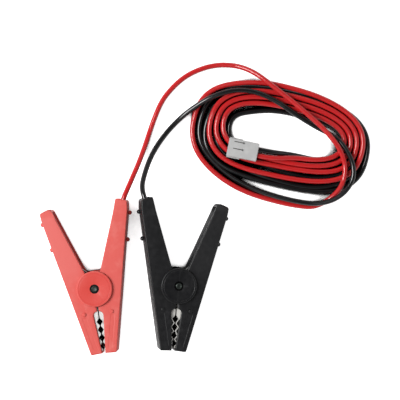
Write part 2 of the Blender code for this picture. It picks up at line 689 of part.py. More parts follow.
def make_crimp(colour, clamp, metal, copper):
    """The sleeve on the tail of the live jaw, and the bare wire end in it."""
    start = along_edge(SLEEVE_START, CRIMP_INSET)
    upright = EDGE_DIRECTION.to_track_quat("Z", "Y").to_matrix().to_4x4()
    frame = Matrix.Translation(start) @ upright
    sleeve = drum(colour + "_crimp_sleeve", SLEEVE_RADIUS, 0.0, SLEEVE_LENGTH, clamp, segments=20)
    round_edges(sleeve, FINE_BEVEL, 1)
    bore = drum(colour + "_crimp_bore", SLEEVE_BORE, -SLEEVE_LENGTH, 2 * SLEEVE_LENGTH, clamp,
                segments=16)
    wire = drum(colour + "_conductor_end", CONDUCTOR_RADIUS, -CONDUCTOR_PROUD,
                SLEEVE_LENGTH + CONDUCTOR_PROUD, clamp, segments=14)
    round_edges(wire, FINE_BEVEL, 1)
    for piece in (sleeve, bore, wire):
        piece.data.transform(frame)
    cut(sleeve, bore)
    finish(sleeve, metal)
    finish(wire, copper)


def make_clamp(colour, pivot, yaw, roll, plastic, metals):
    """One clamp, laid on the table; returns where its own axes lie."""
    tilt = abs(math.remainder(math.radians(roll), math.pi))
    on_disc = (DISC_ROUND + (DISC_FACE - DISC_ROUND) * math.cos(tilt)
               + (DISC_RADIUS - DISC_ROUND) * math.sin(tilt))
    on_handle = (EDGE_ROUND + (ARM_HALF_WIDTH - EDGE_ROUND) * math.cos(tilt)
                 + (END_OUTER_X - EDGE_ROUND) * math.sin(tilt))
    clamp = new_empty(colour + "_clamp")
    clamp.location = (*pivot, max(on_disc, on_handle))
    clamp.rotation_euler = (0.0, math.radians(roll), math.radians(yaw))
    hinge = new_empty(colour + "_jaw_hinge", clamp)
    bpy.context.view_layer.update()
    nickel, steel, copper = metals
    make_cable_arm(colour, clamp, plastic)
    make_free_arm(colour, hinge, plastic)
    make_cable_jaw(colour, clamp, nickel)
    make_free_jaw(colour, hinge, nickel)
    make_rivet(colour, clamp, steel)
    make_jaw_pin(colour + "_jaw_pin", 1.0, clamp, plastic)
    make_jaw_pin(colour + "_free_pin", -1.0, hinge, plastic)
    make_spring(colour, clamp, steel)
    make_crimp(colour, clamp, nickel, copper)
    return clamp.matrix_world.copy()


# ------------------------------------------------------------- two-way plug
def make_contact(name, way, plug, metal):
    """A crimp contact: a square box at the mating end, a barrel at the wire."""
    size = WAY_SIZE - 2 * CLEARANCE
    front = CONTACT_INSET - PLUG_LENGTH / 2
    back = PLUG_LENGTH / 2 - WIRE_POCKET
    middle = front + (back - front) * CONTACT_BOX
    contact = block(name, (middle - front, size, size), ((front + middle) / 2, way, 0.0), plug)
    round_edges(contact, FINE_BEVEL, 1)
    along_plug = Matrix.Translation((0.0, way, 0.0)) @ Matrix.Rotation(math.radians(90), 4, "Y")
    barrel = drum(name + "_barrel", size / 2 - CONTACT_STEP, middle - SHEET, back, plug, segments=16)
    barrel.data.transform(along_plug)
    fuse(contact, barrel)
    bore = drum(name + "_bore", size / 2 - CONTACT_WALL, front - SHEET, back + SHEET, plug,
                segments=12)
    bore.data.transform(along_plug)
    cut(contact, bore)
    finish(contact, metal)


def make_plug(nylon, metal):
    """The housing on the far end, moulded with two ways, grooves and side ribs."""
    plug = new_empty("plug")
    plug.location = PLUG_PLACE
    plug.rotation_euler = (0.0, 0.0, math.radians(PLUG_TURN))
    bpy.context.view_layer.update()
    name = "connector_housing"
    housing = block(name, (PLUG_LENGTH, PLUG_WIDTH, PLUG_HEIGHT), (0.0, 0.0, 0.0), plug)
    round_edges(housing, HOUSING_ROUND)
    long = 2 * PLUG_LENGTH
    for colour, way in (("black", BLACK_WAY), ("red", RED_WAY)):
        cut(housing, block(f"{name}_{colour}_way", (long, WAY_SIZE, WAY_SIZE), (0.0, way, 0.0), plug))
    pocket = LEAD_DIAMETER + 2 * CLEARANCE
    span = BLACK_WAY - RED_WAY + pocket
    centre = (PLUG_LENGTH / 2, (BLACK_WAY + RED_WAY) / 2, 0.0)
    cut(housing, block(name + "_wire_pocket", (2 * WIRE_POCKET, span, pocket), centre, plug))
    top = PLUG_HEIGHT / 2
    for index, y in enumerate(GROOVES):
        groove = (GROOVE_LENGTH, GROOVE_WIDTH, 2 * GROOVE_DEPTH)
        cut(housing, block(f"{name}_groove_{index}", groove, (-GROOVE_LENGTH / 2, y, top), plug))
        window = (PLUG_WINDOW, PLUG_WINDOW, top)
        cut(housing, block(f"{name}_window_{index}", window, (0.0, y, top), plug))
    rail_x = (RAIL_LENGTH - PLUG_LENGTH) / 2 + CLEARANCE
    for index, side in enumerate((-1.0, 1.0)):
        rail = (rail_x, side * (PLUG_WIDTH / 2 + RAIL_WIDTH / 4), -top / 2)
        fuse(housing, block(f"{name}_rail_{index}", (RAIL_LENGTH, RAIL_WIDTH, RAIL_WIDTH), rail, plug))
    finish(housing, nylon)
    make_contact("black_contact", BLACK_WAY, plug, metal)
    make_contact("red_contact", RED_WAY, plug, metal)
    return plug.matrix_world.copy()


# ------------------------------------------------------------------ the lead
def ease(turn, phase):
    """0 before a phase of the winding, 1 after it, and a smooth climb between."""
    start, span = phase
    share = min(max((turn - start) / span, 0.0), 1.0)
    return share * share * (3.0 - 2.0 * share)


def oval_point(oval, turn):
    x, y, half_length, half_width, tilt = oval
    angle = -2.0 * math.pi * turn
    along = half_length * math.copysign(abs(math.cos(angle)) ** OVAL_POWER, math.cos(angle))
    across = half_width * math.copysign(abs(math.sin(angle)) ** OVAL_POWER, math.sin(angle))
    return Vector((x, y)) + Matrix.Rotation(math.radians(tilt), 2) @ Vector((along, across))


def red_loop(turn):
    """The red core's lane and height: it climbs onto the black in turn one."""
    wide = RED_WIDE * (1.0 - ease(turn, RED_DRAWN_IN))
    spread = RED_SPREAD * ease(turn, RED_LEAVES)
    lane = RED_LANE - RED_LANE_STEP * turn + wide + spread
    leaving = RED_END_LIFT * ease(turn, RED_LEAVES)
    return lane, TABLE_LAYER + LAYER_RISE * ease(turn, RED_CLIMB) + leaving


def black_loop(turn):
    """The black core's lane and height, on the table all the way round."""
    round_off = math.cos(2.0 * math.pi * (turn - BLACK_SWAY_TURN))
    sway = (BLACK_SWAY + BLACK_SWAY_STEP * turn) * round_off
    left_end = math.sin(math.pi * turn) ** BLACK_BULGE_POWER
    bulge = BLACK_BULGE * left_end * (1.0 - ease(turn, BLACK_BULGE_FADES))
    tuck = BLACK_TUCK * ease(turn, BLACK_TUCKED)
    landing = BLACK_START_LIFT * (1.0 - ease(turn, BLACK_LANDS))
    lane = BLACK_LANE - BLACK_LANE_STEP * turn + sway + bulge - tuck
    return lane, TABLE_LAYER + landing


def coil_point(loop, turn):
    lane, height = loop(turn)
    flat = oval_point(INNER_OVAL, turn).lerp(oval_point(OUTER_OVAL, turn), lane)
    return Vector((*flat, height))


def coil_points(loop, plug_place, way):
    """All the turns, and the run from the last one into the plug."""
    count = round((COIL_END - COIL_START) * POINTS_PER_TURN)
    points = []
    for index in range(count + 1):
        turn = COIL_START + (COIL_END - COIL_START) * index / count
        points.append(coil_point(loop, turn))
    inside = PLUG_LENGTH / 2 - WIRE_POCKET + CLEARANCE
    end = plug_place @ Vector((inside, way, 0.0))
    into_plug = (plug_place.to_3x3() @ Vector((-1.0, 0.0, 0.0))).normalized()
    straight = end - into_plug * (LEAD_STRAIGHT + WIRE_POCKET)
    leaving = (points[-1] - points[-2]).normalized()
    first_handle = points[-1] + leaving * TAIL_REACH
    last_handle = straight - into_plug * TAIL_REACH
    start = points[-1]
    for index in range(1, TAIL_POINTS + 1):
        t = index / TAIL_POINTS
        points.append(start * (1 - t) ** 3 + first_handle * 3 * t * (1 - t) ** 2
                      + last_handle * 3 * t * t * (1 - t) + straight * t ** 3)
    points.append(end)
    return points


def least_gap(points, diameter):
    """The least room between two stretches of one tube, measured on points."""
    least = math.inf
    for index, point in enumerate(points):
        for other in range(index + POINTS_PER_TURN // 2, len(points) - 1):
            start, end = points[other], points[other + 1]
            along = end - start
            share = min(max((point - start).dot(along) / along.length_squared, 0.0), 1.0)
            least = min(least, (point - start - along * share).length - diameter)
    return least


def smooth_route(knots, spacing):
    """Evenly spaced points on a smooth curve through the knots."""
    knots = [Vector(knot) for knot in knots]
    ends = [2 * knots[0] - knots[1]] + knots + [2 * knots[-1] - knots[-2]]
    fine = []
    for before, start, end, after in zip(ends, ends[1:], ends[2:], ends[3:]):
        for step in range(FINE_STEPS):
            t = step / FINE_STEPS
            fine.append(0.5 * (2 * start + (end - before) * t
                               + (2 * before - 5 * start + 4 * end - after) * t ** 2
                               + (3 * start - before - 3 * end + after) * t ** 3))
    fine.append(knots[-1])
    lengths = [(b - a).length for a, b in zip(fine, fine[1:])]
    count = round(sum(lengths) / spacing)
    step = sum(lengths) / count
    points = [fine[0]]
    walked = 0.0
    for start, end, length in zip(fine, fine[1:], lengths):
        while len(points) < count and walked + length >= step * len(points):
            share = (step * len(points) - walked) / length
            points.append(start.lerp(end, share))
        walked += length
    points.append(fine[-1])
    return points


def make_lead(colour, clamp_place, route, loop, plug_place, way, sheath):
    """One core of the lead: the free stretch from its clamp, and its coil."""
    coil = coil_points(loop, plug_place, way)
    leaving_sleeve = SLEEVE_START + SLEEVE_LENGTH + CONDUCTOR_PROUD + CLEARANCE
    exit_inset = ARM_WALL + 2 * CLEARANCE + LEAD_DIAMETER / 2
    run = END_INNER_Y - leaving_sleeve
    in_handle = [
        along_edge(leaving_sleeve, CRIMP_INSET),
        along_edge(leaving_sleeve + LEAD_STRAIGHT, CRIMP_INSET),
        along_edge(leaving_sleeve + run * DRIFT, (CRIMP_INSET + exit_inset) / 2),
        along_edge(END_INNER_Y - MOUTH_INSET, exit_inset),
    ]
    crimp_end, *knots = [clamp_place @ point for point in in_handle] + list(route)
    heading = (coil[1] - coil[0]).normalized()
    coil_end = coil[0] - heading * CLEARANCE
    knots.append(coil_end - heading * LEAD_STRAIGHT)
    points = [crimp_end] + smooth_route(knots, ROUTE_SPACING) + [coil_end]
    free = tube(colour + "_lead", points, LEAD_DIAMETER, 2)
    wound = tube(colour + "_coil", coil, LEAD_DIAMETER, 1)
    finish(free, sheath)
    finish(wound, sheath)
    gap = least_gap(coil, LEAD_DIAMETER)
    print(f"{colour} coil: least gap to itself {gap * 1000:.2f} mm")


# ------------------------------------------------------------------ the part
for old in list(bpy.data.objects):
    bpy.data.objects.remove(old)

PARTS = new_collection("battery_clamp_lead")
TOOLS = new_collection("cutters")

RED_PLASTIC = new_material("red_plastic", (0.80, 0.13, 0.11), 0.42)
BLACK_PLASTIC = new_material("black_plastic", (0.018, 0.018, 0.020), 0.38)
RED_SHEATH = new_material("red_sheath", (0.70, 0.03, 0.035), 0.28)
BLACK_SHEATH = new_material("black_sheath", (0.012, 0.012, 0.013), 0.28)
NYLON = new_material("light_grey_nylon", (0.48, 0.48, 0.47), 0.45)
NICKEL = new_material("nickel_plate", (0.78, 0.77, 0.74), 0.25, 1.0)
STEEL = new_material("steel", (0.50, 0.50, 0.49), 0.35, 1.0)
COPPER = new_material("copper", (0.80, 0.42, 0.26), 0.30, 1.0)
METALS = (NICKEL, STEEL, COPPER)

red_place = make_clamp("red", RED_PIVOT, RED_YAW, RED_ROLL, RED_PLASTIC, METALS)
black_place = make_clamp("black", BLACK_PIVOT, BLACK_YAW, BLACK_ROLL, BLACK_PLASTIC, METALS)
plug_matrix = make_plug(NYLON, NICKEL)
make_lead("red", red_place, RED_ROUTE, red_loop, plug_matrix, RED_WAY, RED_SHEATH)
make_lead("black", black_place, BLACK_ROUTE, black_loop, plug_matrix, BLACK_WAY, BLACK_SHEATH)
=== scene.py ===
"""Battery clamp lead, dressed: two sprung insulated clamps, red and black, on a
two-core lead that is wound by hand and ends in a small two-way plug.

Metres, +Z up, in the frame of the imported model: the table is z = 0, and the
origin lies under the middle of the two clamps.
"""
import json
import math

import bpy
from mathutils import Matrix, Vector


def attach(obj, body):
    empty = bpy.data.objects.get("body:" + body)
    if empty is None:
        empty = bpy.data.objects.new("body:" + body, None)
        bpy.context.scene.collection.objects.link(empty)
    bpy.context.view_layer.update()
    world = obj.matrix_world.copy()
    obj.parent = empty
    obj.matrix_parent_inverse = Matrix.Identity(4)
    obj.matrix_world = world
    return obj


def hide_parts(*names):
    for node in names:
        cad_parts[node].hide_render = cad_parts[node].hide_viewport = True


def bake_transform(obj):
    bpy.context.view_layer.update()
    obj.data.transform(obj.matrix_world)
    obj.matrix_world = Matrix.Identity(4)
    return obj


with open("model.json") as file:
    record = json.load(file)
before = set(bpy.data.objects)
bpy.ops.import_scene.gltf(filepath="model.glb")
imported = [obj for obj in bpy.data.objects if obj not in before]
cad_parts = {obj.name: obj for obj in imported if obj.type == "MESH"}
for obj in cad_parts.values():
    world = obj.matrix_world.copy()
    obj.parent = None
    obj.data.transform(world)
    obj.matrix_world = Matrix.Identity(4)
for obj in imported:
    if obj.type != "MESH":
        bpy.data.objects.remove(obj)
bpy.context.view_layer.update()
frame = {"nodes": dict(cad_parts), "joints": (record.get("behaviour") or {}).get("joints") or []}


# ------------------------------------------------------------------ the camera
# It looks straight down from a metre above the table at the middle of what
# lies there, through a long lens, as catalogue pictures are taken.
CAMERA_HEIGHT = 1.0
CAMERA_OVER = (0.03743, 0.04304)
LENS = 156.24                # mm
FRAME_WIDTH = 36.0           # mm

camera = bpy.data.objects.new("camera", bpy.data.cameras.new("camera"))
camera.data.lens = LENS
camera.data.sensor_width = FRAME_WIDTH
camera.data.clip_start = 0.01
camera.data.clip_end = 20.0
camera.location = (*CAMERA_OVER, CAMERA_HEIGHT)
bpy.context.scene.collection.objects.link(camera)
bpy.context.scene.camera = camera
bpy.context.scene.view_settings.view_transform = "Standard"


# ---------------------------------------------------------- the light and table
# A soft box hangs up to the left, and a weak card of light over the clamps, for
# their bare metal.  The room is bright at the sides and dim overhead.  The
# table is white, and dark only in narrow gaps between and under the pieces:
# painted shade, from an occlusion mask on its colour and glow.
BOX_PLACE = (-0.60, 0.12, 0.88)
BOX_SIZE = (0.44, 0.54)
BOX_POWER = 10.5
CARD_PLACE = (-0.17, -0.11, 1.10)
CARD_SIZE = (0.34, 0.34)
CARD_POWER = 0.45
ROOM_SIDES = 0.95            # the room's light, level with the table
ROOM_ABOVE = 0.06            # and straight above it
TABLE_SIZE = 6.0
WHITE = (1.0, 1.0, 1.0, 1.0)
TABLE_WHITE = 0.86
TABLE_GLOW = 0.92            # what it adds for the camera, so that it is white
GLOSS_SHARE = 0.15           # and the share of that which the object mirrors
GAP_REACH = 0.012            # how near a thing must be for the painted shade to darken the table
GAP_OPEN = (0.42, 0.53)      # share of open sky where it is black, and where it is white
GAP_SAMPLES = 24


def ranged(group, value, low, high, to_low=0.0, to_high=1.0):
    """The value's range from low to high, laid over another range."""
    node = group.nodes.new("ShaderNodeMapRange")
    group.links.new(value, node.inputs["Value"])
    for label, number in (("From Min", low), ("From Max", high)):
        node.inputs[label].default_value = number
    for label, number in (("To Min", to_low), ("To Max", to_high)):
        if hasattr(number, "links"):
            group.links.new(number, node.inputs[label])
        else:
            node.inputs[label].default_value = number
    return node.outputs["Result"]


def maths(group, operation, first, second=0.0):
    """One step of arithmetic on values or constants."""
    node = group.nodes.new("ShaderNodeMath")
    node.operation = operation
    for socket, value in zip(node.inputs, (first, second)):
        if hasattr(value, "links"):
            group.links.new(value, socket)
        else:
            socket.default_value = value
    return node.outputs["Value"]


def look_at(thing, target):
    direction = Vector(target) - thing.location
    thing.rotation_euler = direction.to_track_quat("-Z", "Y").to_euler()


for name, place, size, power in (("soft_box", BOX_PLACE, BOX_SIZE, BOX_POWER),
                                 ("white_card", CARD_PLACE, CARD_SIZE, CARD_POWER)):
    lamp = bpy.data.objects.new(name, bpy.data.lights.new(name, "AREA"))
    lamp.data.shape = "RECTANGLE"
    lamp.data.size, lamp.data.size_y = size
    lamp.data.energy = power
    lamp.location = place
    look_at(lamp, (*CAMERA_OVER, 0.0))
    bpy.context.scene.collection.objects.link(lamp)

room = bpy.data.worlds.new("room")
room.use_nodes = True
bpy.context.scene.world = room
tree = room.node_tree
direction = tree.nodes.new("ShaderNodeTexCoord")
height = tree.nodes.new("ShaderNodeSeparateXYZ")
tree.links.new(direction.outputs["Generated"], height.inputs[0])
strength = ranged(tree, height.outputs["Z"], 0.0, 1.0, ROOM_SIDES, ROOM_ABOVE)
room_light = tree.nodes["Background"]
room_light.inputs["Color"].default_value = WHITE
tree.links.new(strength, room_light.inputs["Strength"])
room_white = tree.nodes.new("ShaderNodeBackground")
room_white.inputs["Color"].default_value = WHITE
seen = tree.nodes.new("ShaderNodeLightPath")
room_mix = tree.nodes.new("ShaderNodeMixShader")
tree.links.new(seen.outputs["Is Camera Ray"], room_mix.inputs["Fac"])
tree.links.new(room_light.outputs[0], room_mix.inputs[1])
tree.links.new(room_white.outputs[0], room_mix.inputs[2])
tree.links.new(room_mix.outputs[0], tree.nodes["World Output"].inputs["Surface"])

bpy.ops.object.select_all(action="DESELECT")
bpy.ops.mesh.primitive_plane_add(size=TABLE_SIZE, location=(*CAMERA_OVER, 0.0))
table = bpy.context.active_object
table.name = "table"
table_white = bpy.data.materials.new("table_white")
table_white.use_nodes = True
tree = table_white.node_tree
shader = tree.nodes["Principled BSDF"]
shader.inputs["Roughness"].default_value = 0.9
shader.inputs["Specular IOR Level"].default_value = 0.0
shader.inputs["Emission Color"].default_value = WHITE
# Painted shade: the occlusion mask darkens the table's colour and glow in narrow gaps and under
# the pieces.
open_sky = tree.nodes.new("ShaderNodeAmbientOcclusion")
open_sky.inputs["Distance"].default_value = GAP_REACH
open_sky.samples = GAP_SAMPLES
open_share = ranged(tree, open_sky.outputs["AO"], *GAP_OPEN)
tree.links.new(maths(tree, "MULTIPLY", open_share, TABLE_WHITE), shader.inputs["Base Color"])
seen = tree.nodes.new("ShaderNodeLightPath")
shown = maths(tree, "ADD", seen.outputs["Is Camera Ray"],
              maths(tree, "MULTIPLY", seen.outputs["Is Glossy Ray"], GLOSS_SHARE))
glow = maths(tree, "MULTIPLY", open_share, TABLE_GLOW)
tree.links.new(maths(tree, "MULTIPLY", glow, shown), shader.inputs["Emission Strength"])
table.data.materials.append(table_white)


# ------------------------------------------------------ where the clamps lie
# Each clamp is worked out flat, as it is made: its pivot at the origin, its
# handles up +Y, its jaws down -Y.  It is then laid where its hinge says.
CLAMP_YAW = {"red": 8.1, "black": -4.7}       # degrees
CLAMP_ROLL = {"red": -2.5, "black": 188.5}    # the black one lies on its other face
FIXED_SIDE = "clamps_and_lead"
FREE_SIDE = {"red": "red_free_side", "black": "black_free_side"}

clamp_place = {}
for joint in frame["joints"]:
    colour = joint["name"].split("_")[0]
    turned = Matrix.Rotation(math.radians(CLAMP_YAW[colour]), 4, "Z")
    rolled = Matrix.Rotation(math.radians(CLAMP_ROLL[colour]), 4, "Y")
    clamp_place[colour] = Matrix.Translation(joint["pos_m"]) @ turned @ rolled


# --------------------------------------------------------------- moulded plastic
# Both clamps are moulded in a slightly soft plastic: an even satin skin with
# a very fine grain and faint flow marks.  The mould has left a parting line
# across the discs, a ring near their rims, and a sunk panel on each jaw cover.
WAIST = 0.0155               # a clamp's pivot to its outer edge, level with the pivot
FLARE = 0.22                 # lean of that edge
DISC_RING = 0.0088           # radius of the ring on a disc
RING_WIDTH = 0.00022
RING_DEPTH = 6.0             # these depths are in units of the skin's own grain
PARTING_WIDTH = 0.00016
PARTING_HEIGHT = 1.5
DISC_TINT_ENDS = (0.0095, 0.0097)       # radius
PANEL = (0.0024, 0.0050)     # the panel's two sides, from the arm's outer edge
PANEL_TOP = -0.0155          # its end below the pivot
PANEL_FOOT = -0.0345
PANEL_EDGE = 0.0003          # how softly it is sunk
PANEL_DEPTH = 5.0
BUMP_DEPTH = 0.0001
SHEEN_ACROSS = (0.003, 0.009)     # painted sheen, for the gloss of the light from the left: the free handle is paler from here on, from the middle and above the pivot
SHEEN_UP = (0.0, 0.012)    # and above the pivot


def new_group(name, inputs, outputs):
    """A shader group with its sockets, and its ends."""
    group = bpy.data.node_groups.new(name, "ShaderNodeTree")
    for label, kind, value in inputs:
        socket = group.interface.new_socket(label, in_out="INPUT", socket_type=kind)
        socket.default_value = value
    for label, kind in outputs:
        group.interface.new_socket(label, in_out="OUTPUT", socket_type=kind)
    return group, group.nodes.new("NodeGroupInput"), group.nodes.new("NodeGroupOutput")


def noise(group, scale, detail, stretch=(1.0, 1.0, 1.0)):
    """Noise on the object's own coordinates, in features per metre."""
    where = group.nodes.new("ShaderNodeTexCoord")
    mapping = group.nodes.new("ShaderNodeMapping")
    mapping.inputs["Scale"].default_value = stretch
    texture = group.nodes.new("ShaderNodeTexNoise")
    texture.inputs["Scale"].default_value = scale
    texture.inputs["Detail"].default_value = detail
    group.links.new(where.outputs["Object"], mapping.inputs["Vector"])
    group.links.new(mapping.outputs["Vector"], texture.inputs["Vector"])
    return texture.outputs["Fac"]


def mixed(group, share, first, second):
    """One colour mixed with another by a share; the second may be a constant."""
    node = group.nodes.new("ShaderNodeMix")
    node.data_type = "RGBA"
    group.links.new(share, node.inputs["Factor"])
    group.links.new(first, node.inputs["A"])
    if hasattr(second, "links"):
        group.links.new(second, node.inputs["B"])
    else:
        node.inputs["B"].default_value = second
    return node.outputs["Result"]


moulding, sockets, ends = new_group(
    "moulded_skin",
    [("Colour", "NodeSocketColor", (0.5, 0.5, 0.5, 1.0)),
     ("Rubbed colour", "NodeSocketColor", (0.6, 0.6, 0.6, 1.0)),
     ("Smoothest", "NodeSocketFloat", 0.34),
     ("Roughest", "NodeSocketFloat", 0.52),
     ("Marks", "NodeSocketFloat", 0.0)],
    [("Colour", "NodeSocketColor"), ("Roughness", "NodeSocketFloat"),
     ("Height", "NodeSocketFloat")])
flow = noise(moulding, 90.0, 3.0, (1.0, 0.35, 1.0))
grain = noise(moulding, 2600.0, 2.0)
rubs = ranged(moulding, noise(moulding, 240.0, 6.0), 0.52, 0.72, 0.0, 0.65)
share = maths(moulding, "ADD", rubs, ranged(moulding, flow, 0.3, 0.7, 0.0, 0.35))
moulding.links.new(mixed(moulding, share, sockets.outputs["Colour"],
                         sockets.outputs["Rubbed colour"]), ends.inputs["Colour"])
moulding.links.new(ranged(moulding, noise(moulding, 420.0, 4.0), 0.3, 0.7,
                          sockets.outputs["Smoothest"], sockets.outputs["Roughest"]),
                   ends.inputs["Roughness"])
skin = maths(moulding, "ADD", grain, maths(moulding, "MULTIPLY", flow, 2.0))
moulding.links.new(maths(moulding, "ADD", skin, sockets.outputs["Marks"]),
                   ends.inputs["Height"])

# The marks of the mould, on a clamp's own coordinates: pivot at the origin.
marks, sockets, ends = new_group(
    "mould_marks", [("Where", "NodeSocketVector", (0.0, 0.0, 0.0))],
    [("Height", "NodeSocketFloat"), ("Disc", "NodeSocketFloat"),
     ("Painted sheen", "NodeSocketFloat")])
place = marks.nodes.new("ShaderNodeSeparateXYZ")
marks.links.new(sockets.outputs["Where"], place.inputs[0])
across = maths(marks, "ABSOLUTE", place.outputs["X"])
up = place.outputs["Y"]
radius = maths(marks, "POWER", maths(marks, "ADD", maths(marks, "MULTIPLY", across, across),
                                     maths(marks, "MULTIPLY", up, up)), 0.5)
off_ring = maths(marks, "ABSOLUTE", maths(marks, "SUBTRACT", radius, DISC_RING))
ring = ranged(marks, off_ring, 0.0, RING_WIDTH, 1.0, 0.0)
on_disc = ranged(marks, radius, *DISC_TINT_ENDS, 1.0, 0.0)
parting = maths(marks, "MULTIPLY", ranged(marks, across, 0.0, PARTING_WIDTH, 1.0, 0.0), on_disc)
edge = maths(marks, "ADD", maths(marks, "MULTIPLY", up, FLARE), WAIST)
inset = maths(marks, "SUBTRACT", edge, across)
panel = maths(marks, "MULTIPLY",
              ranged(marks, inset, PANEL[0], PANEL[0] + PANEL_EDGE),
              ranged(marks, inset, PANEL[1], PANEL[1] + PANEL_EDGE, 1.0, 0.0))
panel = maths(marks, "MULTIPLY", panel,
              maths(marks, "MULTIPLY",
                    ranged(marks, up, PANEL_TOP - PANEL_EDGE, PANEL_TOP, 1.0, 0.0),
                    ranged(marks, up, PANEL_FOOT, PANEL_FOOT + PANEL_EDGE)))
sunk = maths(marks, "ADD", maths(marks, "MULTIPLY", ring, RING_DEPTH),
             maths(marks, "MULTIPLY", panel, PANEL_DEPTH))
marks.links.new(maths(marks, "SUBTRACT", maths(marks, "MULTIPLY", parting, PARTING_HEIGHT), sunk),
                ends.inputs["Height"])
marks.links.new(on_disc, ends.inputs["Disc"])
# Painted sheen: the free handle is paler, for the gloss of the light from the left.
free_side = maths(marks, "MULTIPLY", place.outputs["X"], -1.0)
marks.links.new(maths(marks, "MULTIPLY", ranged(marks, free_side, *SHEEN_ACROSS),
                      ranged(marks, up, *SHEEN_UP)), ends.inputs["Painted sheen"])


def principled(name, group, bump, **values):
    """A material: a Principled shader, fed by a group's outputs."""
    made = bpy.data.materials.new(name)
    made.use_nodes = True
    tree = made.node_tree
    shader = tree.nodes["Principled BSDF"]
    effect = tree.nodes.new("ShaderNodeGroup")
    effect.node_tree = group
    for label, value in values.items():
        effect.inputs[label.replace("_", " ")].default_value = value
    tree.links.new(effect.outputs["Colour"], shader.inputs["Base Color"])
    tree.links.new(effect.outputs["Roughness"], shader.inputs["Roughness"])
    raised = tree.nodes.new("ShaderNodeBump")
    raised.inputs["Strength"].default_value = bump
    raised.inputs["Distance"].default_value = BUMP_DEPTH
    tree.links.new(effect.outputs["Height"], raised.inputs["Height"])
    tree.links.new(raised.outputs["Normal"], shader.inputs["Normal"])
    return made, shader, effect


def on_clamp(tree, colour):
    """A shader's own coordinates, turned to lie as the clamp does: pivot at the origin."""
    where = tree.nodes.new("ShaderNodeTexCoord")
    mapping = tree.nodes.new("ShaderNodeMapping")
    back = clamp_place[colour].inverted()
    mapping.inputs["Location"].default_value = back.translation
    mapping.inputs["Rotation"].default_value = back.to_euler()
    tree.links.new(where.outputs["Object"], mapping.inputs["Vector"])
    return mapping.outputs["Vector"]


def mark_clamp(material, shader, effect, colour, disc_colour, sheen_colour):
    """Add the mould's marks, tint the discs and pale the free handle: a painted sheen."""
    tree = material.node_tree
    left = tree.nodes.new("ShaderNodeGroup")
    left.node_tree = marks
    tree.links.new(on_clamp(tree, colour), left.inputs["Where"])
    tree.links.new(left.outputs["Height"], effect.inputs["Marks"])
    disc_tinted = mixed(tree, left.outputs["Disc"], effect.outputs["Colour"], disc_colour)
    tree.links.new(mixed(tree, left.outputs["Painted sheen"], disc_tinted, sheen_colour),
                   shader.inputs["Base Color"])


red_plastic, shader, effect = principled(
    "red_plastic", moulding, bump=0.30, Colour=(0.675, 0.089, 0.073, 1.0),
    Rubbed_colour=(0.71, 0.140, 0.120, 1.0), Smoothest=0.36, Roughest=0.52)
shader.inputs["Specular IOR Level"].default_value = 0.3
# The last colour is the free handle's painted sheen.
mark_clamp(red_plastic, shader, effect, "red", (0.65, 0.058, 0.045, 1.0),
           (0.70, 0.125, 0.108, 1.0))
black_plastic, shader, effect = principled(
    "black_plastic", moulding, bump=0.30, Colour=(0.0070, 0.0070, 0.0078, 1.0),
    Rubbed_colour=(0.016, 0.016, 0.0175, 1.0), Smoothest=0.32, Roughest=0.48)
shader.inputs["Specular IOR Level"].default_value = 0.35
# The last colour is the free handle's painted sheen.
mark_clamp(black_plastic, shader, effect, "black", (0.0045, 0.0045, 0.0055, 1.0),
           (0.016, 0.016, 0.017, 1.0))
PLASTIC = {"red": red_plastic, "black": black_plastic}


# ------------------------------------------------------------------- the arms
# Each clamp has two moulded arms: one takes the lead, and the other swings and
# carries the discs, whose faces are slightly dished towards the rivet.
CLEARANCE = 0.0003
ARM_HALF_WIDTH = 0.0075
WALL = 0.0018                # of the mouldings, and the discs' thickness
DISC_FACE = ARM_HALF_WIDTH + CLEARANCE + WALL       # pivot's mid plane to a disc's face
SINK_RADIUS = 0.0027         # the sunk seat of the rivet's head
SINK_DEPTH = 0.0012
SINK_FLOOR = DISC_FACE - SINK_DEPTH
DISH = 0.0004                # how far the disc's middle is dished
PEG_EDGE = 0.00012           # rounding of the pegs' ends
SMOOTH_ANGLE = 38.0          # degrees: sharper edges stay sharp


def only(piece):
    """Select one piece and nothing else."""
    bpy.ops.object.select_all(action="DESELECT")
    piece.select_set(True)
    bpy.context.view_layer.objects.active = piece


def finish_mesh(piece, rounding=0.0, segments=2):
    """Round the sharp edges, shade the piece smooth and even out its flats."""
    only(piece)
    if rounding:
        bevel = piece.modifiers.new("rounded", "BEVEL")
        bevel.width = rounding
        bevel.segments = segments
        bevel.limit_method = "ANGLE"
        bevel.angle_limit = math.radians(SMOOTH_ANGLE)
        bpy.ops.object.modifier_apply(modifier=bevel.name)
    bpy.ops.object.shade_smooth_by_angle(angle=math.radians(SMOOTH_ANGLE))
    flats = piece.modifiers.new("even_flats", "WEIGHTED_NORMAL")
    flats.keep_sharp = True
    bpy.ops.object.modifier_apply(modifier=flats.name)


def finer(node, name, flatten=False):
    """A copy of a CAD node as one merged mesh, which stands for the node."""
    source = frame["nodes"][node]
    only(source)
    bpy.ops.object.duplicate()
    piece = bpy.context.active_object
    for key in list(piece.keys()):
        del piece[key]
    piece.parent = None
    piece.name = name
    piece.data.materials.clear()
    bpy.ops.object.mode_set(mode="EDIT")
    bpy.ops.mesh.select_all(action="SELECT")
    bpy.ops.mesh.remove_doubles(threshold=0.000005)
    if flatten:
        bpy.ops.mesh.dissolve_limited(angle_limit=math.radians(1.0))
    bpy.ops.object.mode_set(mode="OBJECT")
    return piece


def hand_over(piece, body, material, slot, *nodes):
    """Give the piece its finish and its body, and let it stand for CAD nodes."""
    piece.data.materials.append(material)
    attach(piece, body)
    if nodes:
        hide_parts(*nodes)


